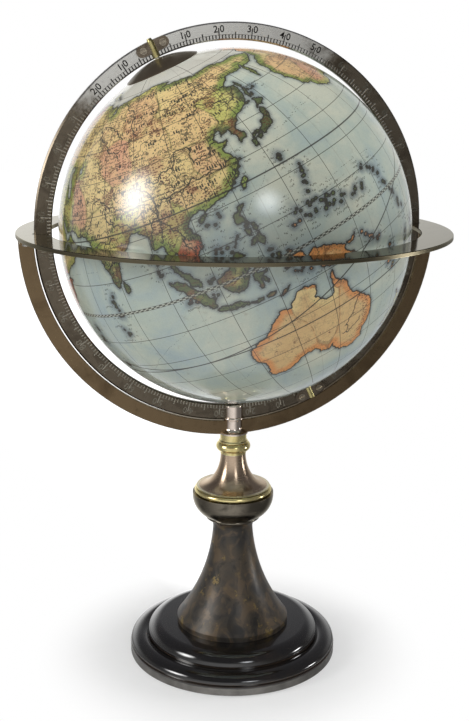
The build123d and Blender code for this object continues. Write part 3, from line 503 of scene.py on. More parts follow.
def linear(colour):
    """An sRGB triple of 0 to 255 as linear RGBA. Linear colours and sockets stay as they are."""
    if not isinstance(colour, tuple) or len(colour) == 4:
        return colour
    parts = [c / 255 for c in colour]
    return tuple(c / 12.92 if c <= 0.04045 else ((c + 0.055) / 1.055) ** 2.4 for c in parts) + (1.0,)


def on_ball(longitude, latitude, radius=globe_radius / MM):
    """Points of the polar frame, in millimetres, from arrays in degrees."""
    east = np.radians(np.asarray(longitude, float) - SEAM_LONGITUDE)
    north = np.radians(np.asarray(latitude, float))
    flat = np.cos(north)
    return radius * np.stack([flat * np.cos(east), flat * np.sin(east), np.sin(north)], -1)


# Map: wandering outlines and their distances
def wander(start, end, rng, step, sway):
    """Points from start up to end by midpoint displacement, the way an engraver's coast wanders."""
    squeeze = max(LEAST_SQUEEZE, math.cos(math.radians((start[1] + end[1]) / 2)))
    east = (end[0] - start[0]) * squeeze
    north = end[1] - start[1]
    if math.hypot(east, north) < step:
        return [start]
    push = rng.uniform(-sway, sway)
    middle = (
        (start[0] + end[0]) / 2 - push * north / squeeze,
        (start[1] + end[1]) / 2 + push * east,
    )
    return wander(start, middle, rng, step, sway) + wander(middle, end, rng, step, sway)


def roughen(points, rng, closed, sway=COAST_SWAY):
    """A listed outline with its straight runs made to wander."""
    ends = points[1:] + points[:1] if closed else points[1:]
    found = [spot for a, b in zip(points, ends) for spot in wander(a, b, rng, COAST_STEP, sway)]
    return np.array(found if closed else found + [points[-1]], float)


def smooth_step(value, low, high):
    """From zero at one bound to one at the other, which may be the lower."""
    share = min(1.0, max(0.0, (value - low) / (high - low)))
    return share * share * (3 - 2 * share)


def old_reach(points):
    """Sets the far coasts of Asia too far east, and its north coast too far south, as old charts do."""
    moved = []
    for east, north in points:
        far_east = math.prod(smooth_step(east, *band) for band in OLD_REACH_LONGITUDES)
        far_east *= smooth_step(north, *OLD_REACH_LATITUDES)
        far_north = math.prod(smooth_step(east, *band) for band in OLD_SINK_LONGITUDES)
        far_north *= max(0.0, north - OLD_NORTH)
        moved.append((east + OLD_REACH * far_east, north - OLD_SINK * far_north))
    return moved


def stretched(points, corner, factor):
    """An outline drawn larger about one corner."""
    return [tuple(c + factor * (value - c) for c, value in zip(corner, spot)) for spot in points]


def island_chain(first, last, count, rng):
    """Small rounded islands scattered along a line."""
    made = []
    for index in range(count):
        along = (index + rng.uniform(*ISLE_ALONG)) / count
        east, north = [
            a + along * (b - a) + rng.uniform(-ISLE_SCATTER, ISLE_SCATTER) for a, b in zip(first, last)
        ]
        size = rng.uniform(*ISLE_SIZES)
        turn = rng.uniform(0, math.pi)
        rim = [turn + math.tau * corner / ISLE_CORNERS for corner in range(ISLE_CORNERS)]
        made.append([
            (east + size * ISLE_WIDTH * math.cos(angle) * rng.uniform(*ISLE_UNEVEN),
             north + size * math.sin(angle) * rng.uniform(*ISLE_UNEVEN))
            for angle in rim
        ])
    return made


def rows_inside(outline, longitudes, latitudes):
    """Even-odd test of a grid against one outline, one row of equal latitude at a time."""
    east, north = outline.T
    next_east, next_north = np.roll(outline, -1, 0).T
    inside = np.zeros((len(latitudes), len(longitudes)), bool)
    for row in np.nonzero((latitudes > north.min()) & (latitudes < north.max()))[0]:
        level = latitudes[row]
        cut = (north > level) != (next_north > level)
        share = (level - north[cut]) / (next_north[cut] - north[cut])
        crossings = np.sort(east[cut] + share * (next_east[cut] - east[cut]))
        for turn in (-360, 0, 360):
            inside[row] |= np.searchsorted(crossings, longitudes + turn) % 2 == 1
    return inside


def spots_inside(outline, spots):
    """Even-odd test of scattered spots against one outline."""
    inside = np.zeros(len(spots), bool)
    for (x1, y1), (x2, y2) in zip(outline, np.roll(outline, -1, 0)):
        cut = (y1 > spots[:, 1]) != (y2 > spots[:, 1])
        if cut.any():
            inside[cut] ^= spots[cut, 0] < x1 + (spots[cut, 1] - y1) * (x2 - x1) / (y2 - y1)
    return inside


def shared_runs(mainlands):
    """Marks the points of each mainland's outline that lie within another of them."""
    marks = [np.zeros(len(outline), bool) for outline in mainlands]
    for outline, inside in zip(mainlands, marks):
        for other in mainlands:
            if other is not outline:
                inside |= spots_inside(other, outline)
    return np.concatenate(marks)


class Lines:
    """Polylines on the ball that can be asked for the nearest point, in millimetres."""

    def __init__(self, outlines, closed, wanted=slice(None)):
        runs = [on_ball(*line.T) for line in outlines]
        ends = [np.roll(run, -1, 0) if closed else np.append(run[1:], run[-1:], 0) for run in runs]
        self.start = np.concatenate(runs)[wanted]
        self.end = np.concatenate(ends)[wanted]
        self.tree = kdtree.KDTree(len(self.start))
        for index, spot in enumerate(self.start):
            self.tree.insert(spot, index)
        self.tree.balance()

    def measure(self, spots):
        """Distance to the lines, and the sideways offset from the run that is nearest."""
        nearest = np.array([self.tree.find(spot)[1] for spot in spots])
        best = np.full(len(spots), np.inf)
        offset = np.zeros(len(spots))
        for run in (nearest, np.maximum(nearest - 1, 0)):
            along = self.end[run] - self.start[run]
            length = np.maximum((along**2).sum(1), 1e-9)
            share = np.clip(((spots - self.start[run]) * along).sum(1) / length, 0, 1)
            apart = spots - self.start[run] - share[:, None] * along
            distance = np.sqrt((apart**2).sum(1))
            side = (np.cross(along, apart) * spots).sum(1)
            closer = distance < best
            best = np.where(closer, distance, best)
            offset = np.where(closer, np.copysign(distance, side), offset)
        return best, offset


def ripple(spots):
    """Smooth sideways push of points on the ball, so that borders wander."""
    rng = np.random.default_rng(BORDER_SEED)
    push = np.zeros_like(spots)
    for _ in range(BORDER_WAVES):
        wave = rng.normal(size=(3, 3)) / BORDER_WAVE
        push += np.sin(spots @ wave + rng.uniform(0, BORDER_PHASE, 3))
    return BORDER_SWAY * push


class Map:
    """Everything printed on the paper that follows the geography, on one grid round the ball."""

    def __init__(self):
        rng = random.Random(MAP_SEED)
        mainlands = [EURASIA, AFRICA, NORTH_AMERICA, SOUTH_AMERICA]
        australia = stretched(AUSTRALIA, AUSTRALIA_CORNER, AUSTRALIA_STRETCH)
        lands = [roughen(old_reach(points), rng, True) for points in [*mainlands, australia, *ISLANDS]]
        isles = [
            roughen(points, rng, True) for chain in ISLAND_CHAINS for points in island_chain(*chain, rng)
        ]
        seas = [roughen(points, rng, True) for points in INNER_SEAS]
        rivers = [roughen(old_reach(points), rng, False, RIVER_SWAY) for points in RIVERS]
        hills = [roughen(old_reach(points), rng, False) for points in HILLS]
        tracks = [roughen(points, rng, False, TRACK_SWAY) for points in TRACKS]

        self.east = np.linspace(0, 360, GORE_COLUMNS * len(gore_nodes) + 1)
        self.north = np.linspace(-GORE_LATITUDE, GORE_LATITUDE, GORE_ROWS + 1)
        longitude = (self.east + SEAM_LONGITUDE + 180) % 360 - 180
        spots = on_ball(*np.meshgrid(longitude, self.north)).reshape(-1, 3)
        land = np.zeros((len(self.north), len(longitude)), bool)
        for outline in lands + isles:
            land |= rows_inside(outline, longitude, self.north)
        for outline in seas:
            land &= ~rows_inside(outline, longitude, self.north)

        outlines = lands + isles + seas
        coastal = np.ones(sum(map(len, outlines)), bool)
        shared = shared_runs(lands[:len(mainlands)])
        coastal[:len(shared)] = ~shared
        distance, _ = Lines(outlines, True, coastal).measure(spots)
        signed = np.where(land.ravel(), distance, -distance)
        self.fields = {"coast": np.clip(signed, -FAR, FAR)}
        inland = signed > 0
        near_river, river = Lines(rivers, False).measure(spots[inland])
        self.lay("near_river", near_river, inland, FAR)
        self.lay("river", river, inland, FAR)
        self.lay("hill", Lines(hills, False).measure(spots[inland])[0], inland, FAR)
        self.lay("isle", Lines(isles, True).measure(spots[~inland])[0], ~inland, FAR)
        self.lay("track", Lines(tracks, False).measure(spots[~inland])[0], ~inland, FAR)
        self.paint_provinces(spots, signed > -WASH_PAST_COAST)

    def lay(self, name, values, where, blank):
        """Keeps a field that is known in some places and has one blank value in the others."""
        self.fields[name] = np.full((len(where),) + values.shape[1:], blank)
        self.fields[name][where] = values

    def paint_provinces(self, spots, painted):
        """Wash, outline colour and engraving of the nearest province, and the way to its border."""
        seats = on_ball(*np.array(old_reach([row[:2] for row in PROVINCES])).T)
        moved = spots[painted] + ripple(spots[painted])
        apart = np.linalg.norm(moved[:, None].astype(np.float32) - seats[None].astype(np.float32), axis=2)
        order = np.argpartition(apart, 1, axis=1)[:, :2]
        two = np.take_along_axis(apart, order, 1)
        nearest = np.take_along_axis(order, two.argmin(1)[:, None], 1)[:, 0]
        _, _, washes, rims, busy = zip(*PROVINCES)
        for name, colours in (("wash", washes), ("rim", rims)):
            table = np.array([linear(WASHES[colour]) for colour in colours])
            self.lay(name, table[nearest], painted, linear(SEA))
        self.lay("busy", np.array(busy)[nearest], painted, 0.0)
        self.lay("border", np.abs(two[:, 1] - two[:, 0]) / 2, painted, FAR)

    def of_gore(self, index):
        """The fields on one gore's share of the grid, flattened row by row."""
        pick = slice(index * GORE_COLUMNS, (index + 1) * GORE_COLUMNS + 1)
        shape = (len(self.north), len(self.east))
        cut = {}
        for name, values in self.fields.items():
            grid = values.reshape(shape + values.shape[1:])[:, pick]
            cut[name] = grid.reshape((-1,) + values.shape[1:])
        return self.east[pick], self.north, cut


# Pieces
def placed(name, data, place=Matrix()):
    """A new object in the scene."""
    made = bpy.data.objects.new(name, data)
    bpy.context.scene.collection.objects.link(made)
    made.matrix_world = place
    return made


def make_piece(name, mesh, body, material, place=polar, sharp=None):
    """A visible piece that rides on a body, smooth but for edges past an angle if one is given."""
    mesh.materials.append(material)
    if sharp is not None:
        mesh.polygons.foreach_set("use_smooth", np.ones(len(mesh.polygons), bool))
        mesh.set_sharp_from_angle(angle=math.radians(sharp))
    piece = placed(name, mesh, place)
    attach(piece, body)
    return piece


def quads(grid):
    """Faces over a grid of point numbers, row by row."""
    corners = [grid[:-1, :-1], grid[:-1, 1:], grid[1:, 1:], grid[1:, :-1]]
    return np.stack(corners, -1).reshape(-1, 4).tolist()


def swept(name, sections):
    """Mesh of a closed section carried round, from a list of points for each stop."""
    spots = [spot for section in sections for spot in section]
    grid = np.arange(len(spots)).reshape(len(sections), -1)
    mesh = bpy.data.meshes.new(name)
    mesh.from_pydata(spots, [], quads(np.pad(grid, ((0, 1), (0, 1)), mode="wrap")))
    return mesh


def add_rod(shape, foot, top, length, segments, place=Matrix()):
    """Adds a round rod to a bmesh, tapered from its foot's radius to its top's."""
    bmesh.ops.create_cone(
        shape, cap_ends=True, segments=segments, radius1=foot, radius2=top, depth=length, matrix=place
    )


def mesh_of(shape, name):
    """A bmesh as a mesh of its own."""
    mesh = bpy.data.meshes.new(name)
    shape.to_mesh(mesh)
    shape.free()
    return mesh


def evaluated(holder):
    """An object's mesh as its modifiers or its text make it."""
    graph = bpy.context.evaluated_depsgraph_get()
    return bpy.data.meshes.new_from_object(holder.evaluated_get(graph))


def set_field(mesh, name, values):
    """Writes a number, vector or colour per point, and zero on points past those that are given."""
    kinds = {(): ("FLOAT", "value"), (3,): ("FLOAT_VECTOR", "vector"), (4,): ("FLOAT_COLOR", "color")}
    kind, key = kinds[values.shape[1:]]
    whole = np.zeros((len(mesh.vertices),) + values.shape[1:], np.float32)
    whole[:len(values)] = values
    mesh.attributes.new(name, kind, "POINT").data.foreach_set(key, whole.ravel())


def gore_faces():
    """Faces of a thin lune: a fine front, a coarse back, and a rim that joins them."""
    front = np.arange((GORE_ROWS + 1) * (GORE_COLUMNS + 1)).reshape(GORE_ROWS + 1, -1)
    coarse = front[::BACK_STEP, ::BACK_STEP]
    back = front.size + np.arange(coarse.size).reshape(coarse.shape)
    faces = quads(front)
    front_count = len(faces)
    faces += quads(back.T)
    for fine, wide in (
        (front[0, ::-1], back[0, ::-1]), (front[-1], back[-1]),
        (front[::-1, -1], back[::-1, -1]), (front[:, 0], back[:, 0]),
    ):
        for step in range(len(wide) - 1):
            first = step * BACK_STEP
            faces.append([*fine[first:first + BACK_STEP + 1].tolist(), *wide[[step + 1, step]].tolist()])
    return faces, front_count


def make_gores(material):
    """The printed paper: one piece for each gore, with the map's fields on its points."""
    drawn = Map()
    faces, front_count = gore_faces()
    for index, node in enumerate(gore_nodes):
        east, north, fields = drawn.of_gore(index)
        grid = np.stack(np.meshgrid(east + SEAM_LONGITUDE, north))
        outer = on_ball(*grid).reshape(-1, 3)
        inner = on_ball(*grid[:, ::BACK_STEP, ::BACK_STEP], paper_inside / MM).reshape(-1, 3)
        mesh = bpy.data.meshes.new(f"map_{node}")
        mesh.from_pydata((np.concatenate([outer, inner]) * MM).tolist(), [], faces)
        for name, values in fields.items():
            set_field(mesh, name, values)
        set_field(mesh, "plate", np.stack([*grid, np.zeros_like(grid[0])], -1).reshape(-1, 3))
        lay_bake_map(mesh, len(outer), front_count)
        piece = make_piece(f"map_{node}", mesh, "globe", material, sharp=PAPER_SHARP)
        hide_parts(node)


def lay_bake_map(mesh, outer_count, front_count):
    """A map that spreads the printed side over nearly the whole square, for a sharp print."""
    corner = np.zeros(len(mesh.loops), np.int32)
    mesh.loops.foreach_get("vertex_index", corner)
    front_end = mesh.polygons[front_count].loop_start
    row, column = np.divmod(corner, GORE_COLUMNS + 1)
    back_wide = GORE_COLUMNS // BACK_STEP + 1
    back_row, back_column = np.divmod(np.maximum(corner[front_end:] - outer_count, 0), back_wide)
    place = np.zeros((len(corner), 2), np.float32)
    place[:, 0] = BAKE_MARGIN + BAKE_FRONT[0] * column / GORE_COLUMNS
    place[:, 1] = BAKE_MARGIN + BAKE_FRONT[1] * row / GORE_ROWS
    place[front_end:, 0] = BAKE_BACK_START + BAKE_BACK[0] * back_column / back_wide
    place[front_end:, 1] = BAKE_MARGIN + BAKE_BACK[1] * back_row / (GORE_ROWS // BACK_STEP)
    mesh.uv_layers.new(name="OFBake").uv.foreach_set("vector", place.ravel())


# Meridian ring with its engraved scale
def ring_profile():
    """Section of the ring along its face and round the back: radius, depth, and the tick that reaches it."""
    low = ring_inner + RING_CHAMFER
    high = ring_outer - RING_CHAMFER
    line = low + SCALE_LINE
    long, middle, short = TICK_LENGTHS.values()
    face = [
        (low, 0.0, 0.0), (low + TICK_END, 0.0, short),
        (line - SCALE_LINE_HALF_WIDTH, 0.0, short), (line, TICK_DEPTH, short),
        (line + SCALE_LINE_HALF_WIDTH, 0.0, middle),
        (low + middle, 0.0, middle), (low + middle + TICK_END, 0.0, long),
        (low + long, 0.0, long), (low + long + TICK_END, 0.0, PAST_TICKS),
    ]
    front_edge = ring_front + RING_CHAMFER
    back_edge = ring_back - RING_CHAMFER
    sides = [
        (high, ring_front), (ring_outer, front_edge), (ring_outer, back_edge), (high, ring_back),
        (low, ring_back), (ring_inner, back_edge), (ring_inner, front_edge),
    ]
    rows = [(radius, ring_front + sunk, reach) for radius, sunk, reach in face]
    return rows + [(radius, depth, PAST_TICKS) for radius, depth in sides]


def engraved_ring():
    """The ring's mesh: four columns for each degree, the second one sunk where a tick runs."""
    rows = ring_profile()
    half = math.degrees(TICK_HALF_WIDTH / ring_inner)
    sections = []
    ink = []
    for degree in range(360):
        length = next(length for step, length in TICK_LENGTHS.items() if degree % step == 0)
        for offset, share in ((-half, 0.0), (0.0, 1.0), (half, 0.0), (0.5, 0.0)):
            angle = math.radians(degree + offset)
            sections.append([])
            for radius, depth, reach in rows:
                sunk = share if 0 < reach <= length else 0.0
                on_line = depth > ring_front and reach == TICK_LENGTHS[1]
                if depth < ring_front + RING_CHAMFER / 2:
                    depth = max(depth, ring_front + sunk * TICK_DEPTH)
                sections[-1].append((radius * math.sin(angle), depth, radius * math.cos(angle)))
                ink.append(1.0 if sunk or on_line else 0.0)
    mesh = swept("engraved_ring", sections)
    set_field(mesh, "ink", np.array(ink))
    return mesh


def bored(mesh):
    """The ring with its pole grooves and clamp screw holes cut, as in the solid."""
    cutter = bmesh.new()
    add_rod(cutter, AXLE_GROOVE, AXLE_GROOVE, 2 * (ring_outer - MM), GROOVE_SEGMENTS)
    for end in (-1, 1):
        for side in (-1, 1):
            spot = (side * CLAMP_HOLE_SPACING / 2, ring_back / 2, end * CLAMP_HOLE_RADIUS)
            place = Matrix.Translation(spot) @ Matrix.Rotation(math.pi / 2, 4, "X")
            add_rod(cutter, CLAMP_HOLE, CLAMP_HOLE, 3 * (ring_back - ring_front), HOLE_SEGMENTS, place)
    tool = placed("ring_cutter", mesh_of(cutter, "ring_cutter"))
    blank = placed("ring_blank", mesh)
    cut = blank.modifiers.new("bores", "BOOLEAN")
    cut.object = tool
    cut.operation = "DIFFERENCE"
    cut.solver = "EXACT"
    result = evaluated(blank)
    for part in (tool, blank):
        bpy.data.objects.remove(part)
    result.materials.clear()
    return result


def make_meridian(bronze, wax):
    """The graduated ring, and its numbers as an inlay."""
    ring = bored(engraved_ring())
    piece = make_piece("meridian_scale_ring", ring, "meridian", bronze, sharp=RING_SHARP)
    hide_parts("meridian_ring")
    make_piece("degree_numbers", number_mesh(), "meridian", wax)


def digit_mesh(text):
    """One upright digit as a thin inlay, centred on the origin and facing the front."""
    curve = bpy.data.curves.new("digit", "FONT")
    curve.body = text
    curve.size = DIGIT_HEIGHT / DIGIT_SHARE_OF_SIZE
    curve.align_x = "CENTER"
    curve.extrude = INLAY_PROUD
    curve.offset = DIGIT_WEIGHT
    curve.resolution_u = DIGIT_RESOLUTION
    holder = placed("digit", curve)
    mesh = evaluated(holder)
    mesh.transform(Matrix.Translation((0, -DIGIT_HEIGHT / 2, 0)))
    bpy.data.objects.remove(holder)
    return mesh


def number_mesh():
    """Degrees from each pole to the equator, each number split by its tick and read from outside."""
    digits = {text: digit_mesh(text) for text in "0123456789"}
    upright = Matrix.Rotation(math.pi / 2, 4, "X")
    joined = bmesh.new()
    for around in range(10, 360, 10):
        value = min(around % 180, 180 - around % 180)
        if value == 0:
            continue
        turn = Matrix.Rotation(math.radians(around), 4, "Y")
        for text, side in zip(str(value), (-1, 1)):
            spot = (side * DIGIT_SPREAD, ring_front - INLAY_PROUD / 2, ring_inner + DIGIT_RADIUS_GAP)
            mesh = digits[text].copy()
            mesh.transform(turn @ Matrix.Translation(spot) @ upright)
            joined.from_mesh(mesh)
            bpy.data.meshes.remove(mesh)
    bmesh.ops.remove_doubles(joined, verts=joined.verts, dist=SAME_SPOT)
    return mesh_of(joined, "degree_numbers")


def dome_profile():
    """Section of a pole's cover from its centre hole underneath to its rim and back on top."""
    into_polar = polar.inverted()
    cap = [into_polar @ v.co for v in frame["nodes"]["north_cap"].data.vertices]
    collar = [into_polar @ v.co for v in frame["nodes"]["north_spacer"].data.vertices]
    seat = min(spot.length for spot in cap)
    rim = max(spot.xy.length for spot in cap)
    hole = max(spot.xy.length for spot in collar) + DOME_HOLE_FIT
    foot = math.sqrt(seat**2 - rim**2)
    rise = ring_inner - DOME_CLEARANCE - foot - DOME_LIP
    top = []
    under = []
    for step in range(DOME_STEPS + 1):
        radius = hole + (rim - hole) * step / DOME_STEPS
        height = foot + DOME_LIP + rise * (1 - (radius / rim) ** 2)
        top.append((radius, height))
        under.append((radius, max(height - DOME_WALL, math.sqrt(seat**2 - radius**2))))
    return under + top[::-1]


def make_domes(material):
    """The covers over the gores' tips, domed up to the meridian ring."""
    profile = dome_profile()
    turns = [math.tau * segment / DOME_SEGMENTS for segment in range(DOME_SEGMENTS)]
    sections = [
        [(radius * math.cos(turn), radius * math.sin(turn), height) for radius, height in profile]
        for turn in turns
    ]
    for end, flip in (("north", 0.0), ("south", math.pi)):
        mesh = swept(end + "_dome", sections)
        place = polar @ Matrix.Rotation(flip, 4, "Y")
        piece = make_piece(end + "_dome", mesh, "globe", material, place, DOME_SHARP)
        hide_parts(end + "_cap")


def make_pin_head(material):
    """Head of the north pole's pin, on the ring's edge at the upper end of the clamp's rib."""
    head = bmesh.new()
    add_rod(head, PIN_HEAD_FOOT, PIN_HEAD_TOP, PIN_HEAD_HEIGHT, PIN_HEAD_SEGMENTS)
    mesh = mesh_of(head, "north_pin_head")
    place = polar @ Matrix.Translation((0, 0, ring_outer + PIN_HEAD_HEIGHT / 2))
    make_piece("north_pin_head", mesh, "meridian", material, place)


# Materials
class Graph:
    """Shader nodes, built by short calls that give back output sockets."""

    def __init__(self, owner, output):
        owner.use_nodes = True
        self.tree = owner.node_tree
        self.tree.nodes.clear()
        self.end = self.node(output).inputs["Surface"]

    def show(self, shader):
        self.feed(self.end, shader)

    def feed(self, socket, value):
        """Links an output, or a node's first output, to a socket, or sets a plain value there."""
        if isinstance(value, bpy.types.Node):
            value = value.outputs[0]
        if isinstance(value, bpy.types.NodeSocket):
            self.tree.links.new(value, socket)
        else:
            socket.default_value = value

    def node(self, kind, inputs=None, **settings):
        made = self.tree.nodes.new("ShaderNode" + kind)
        for key, value in settings.items():
            setattr(made, key, value)
        for key, value in (inputs or {}).items():
            self.feed(made.inputs[key], value)
        return made

    def place(self):
        return self.node("TexCoord").outputs["Object"]

    def field(self, name, output="Fac"):
        return self.node("Attribute", attribute_name=name).outputs[output]

    def split(self, vector):
        return self.node("SeparateXYZ", {0: vector}).outputs

    def join(self, x, y, z=0.0):
        return self.node("CombineXYZ", {0: x, 1: y, 2: z}).outputs[0]

    def math(self, operation, *values):
        return self.node("Math", dict(enumerate(values)), operation=operation).outputs[0]

    def minus(self, value, less):
        return self.math("SUBTRACT", value, less)

    def chain(self, operation, first, *others):
        """One operation carried through several values in turn."""
        for value in others:
            first = self.math(operation, first, value)
        return first

    def product(self, *values):
        return self.chain("MULTIPLY", *values)

    def add_product(self, value, factor, rest):
        return self.math("MULTIPLY_ADD", value, factor, rest)

    def wave(self, value, pitch):
        return self.math("SINE", self.product(value, pitch))

    def vector(self, operation, *values):
        made = self.node("VectorMath", dict(enumerate(values)), operation=operation)
        return made.outputs["Value" if operation in ("DOT_PRODUCT", "LENGTH") else "Vector"]

    def around(self, place, axis):
        """Distance from an axis through the origin, and the height along it."""
        parts = list(self.split(place))
        height = parts.pop(axis)
        squares = [self.product(part, part) for part in parts]
        return self.math("SQRT", self.math("ADD", *squares)), height

    def ease(self, value, low, high, start=0.0, end=1.0):
        """Smooth step of a value between two bounds."""
        inputs = {"Value": value, "From Min": low, "From Max": high, "To Min": start, "To Max": end}
        return self.node("MapRange", inputs, interpolation_type="SMOOTHSTEP").outputs["Result"]

    def fade(self, value, low, high, start=1.0):
        """Smooth step down to zero."""
        return self.ease(value, low, high, start, 0.0)

    def line(self, offset, half_width, soft=0.06):
        """One where an offset is within half a width of zero."""
        return self.fade(self.math("ABSOLUTE", offset), half_width - soft, half_width + soft)

    def mix(self, factor, first, second):
        made = self.node("Mix", data_type="RGBA", blend_type="MIX")
        for index, value in ((0, factor), (6, linear(first)), (7, linear(second))):
            self.feed(made.inputs[index], value)
        return made.outputs[2]

    def layers(self, colour, *marks):
        """A colour with marks laid over it in turn, each a mask, its strength and a colour."""
        for mask, strength, paint in marks:
            colour = self.mix(self.product(mask, strength), colour, paint)
        return colour

    def noise(self, place, scale, detail=3.0, roughness=0.5, distortion=0.0):
        inputs = {
            "Vector": place, "Scale": scale, "Detail": detail, "Roughness": roughness,
            "Distortion": distortion,
        }
        return self.node("TexNoise", inputs).outputs["Fac"]

    def swayed(self, value, amount, *noise):
        """A value pushed up and down by noise."""
        return self.add_product(self.minus(self.noise(*noise), 0.5), amount, value)

    def ramp(self, factor, *stops):
        made = self.node("ValToRGB", {"Fac": factor})
        elements = made.color_ramp.elements
        while len(elements) < len(stops):
            elements.new(0.5)
        for element, (position, colour) in zip(elements, stops):
            element.position = position
            element.color = linear(colour)
        return made.outputs["Color"]

    def bump(self, height, strength, distance):
        inputs = {"Height": height, "Strength": strength, "Distance": distance}
        return self.node("Bump", inputs).outputs["Normal"]

    def crease(self, distance, low, high, strength, local=True):
        """Falls from a strength in crevices to zero on open faces."""
        settings = {"samples": CREASE_SAMPLES, "only_local": local}
        found = self.node("AmbientOcclusion", {"Distance": distance}, **settings).outputs["AO"]
        return self.fade(found, low, high, strength)

    def worn_edge(self, radius, low, strength):
        """Falls from a strength on edges to zero on flat faces."""
        rounded = self.node("Bevel", {"Radius": radius}, samples=EDGE_SAMPLES)
        flat = self.node("NewGeometry").outputs["Normal"]
        return self.fade(self.vector("DOT_PRODUCT", rounded, flat), low, FLAT_FROM, strength)

    def seen_directly(self):
        """One for the camera's rays and those that pass through glass."""
        path = self.node("LightPath").outputs
        return self.math("MAXIMUM", path["Is Camera Ray"], path["Is Transmission Ray"])


class Finish(Graph):
    """A material with one principled shader."""

    def __init__(self, name):
        self.material = bpy.data.materials.new(name)
        super().__init__(self.material, "OutputMaterial")
        self.shader = self.node("BsdfPrincipled")
        self.show(self.shader)

    def surface(self, **values):
        """Sets the shader's sockets, with their names written with underscores, and gives the material."""
        for key, value in values.items():
            self.feed(self.shader.inputs[key.replace("_", " ")], value)
        return self.material


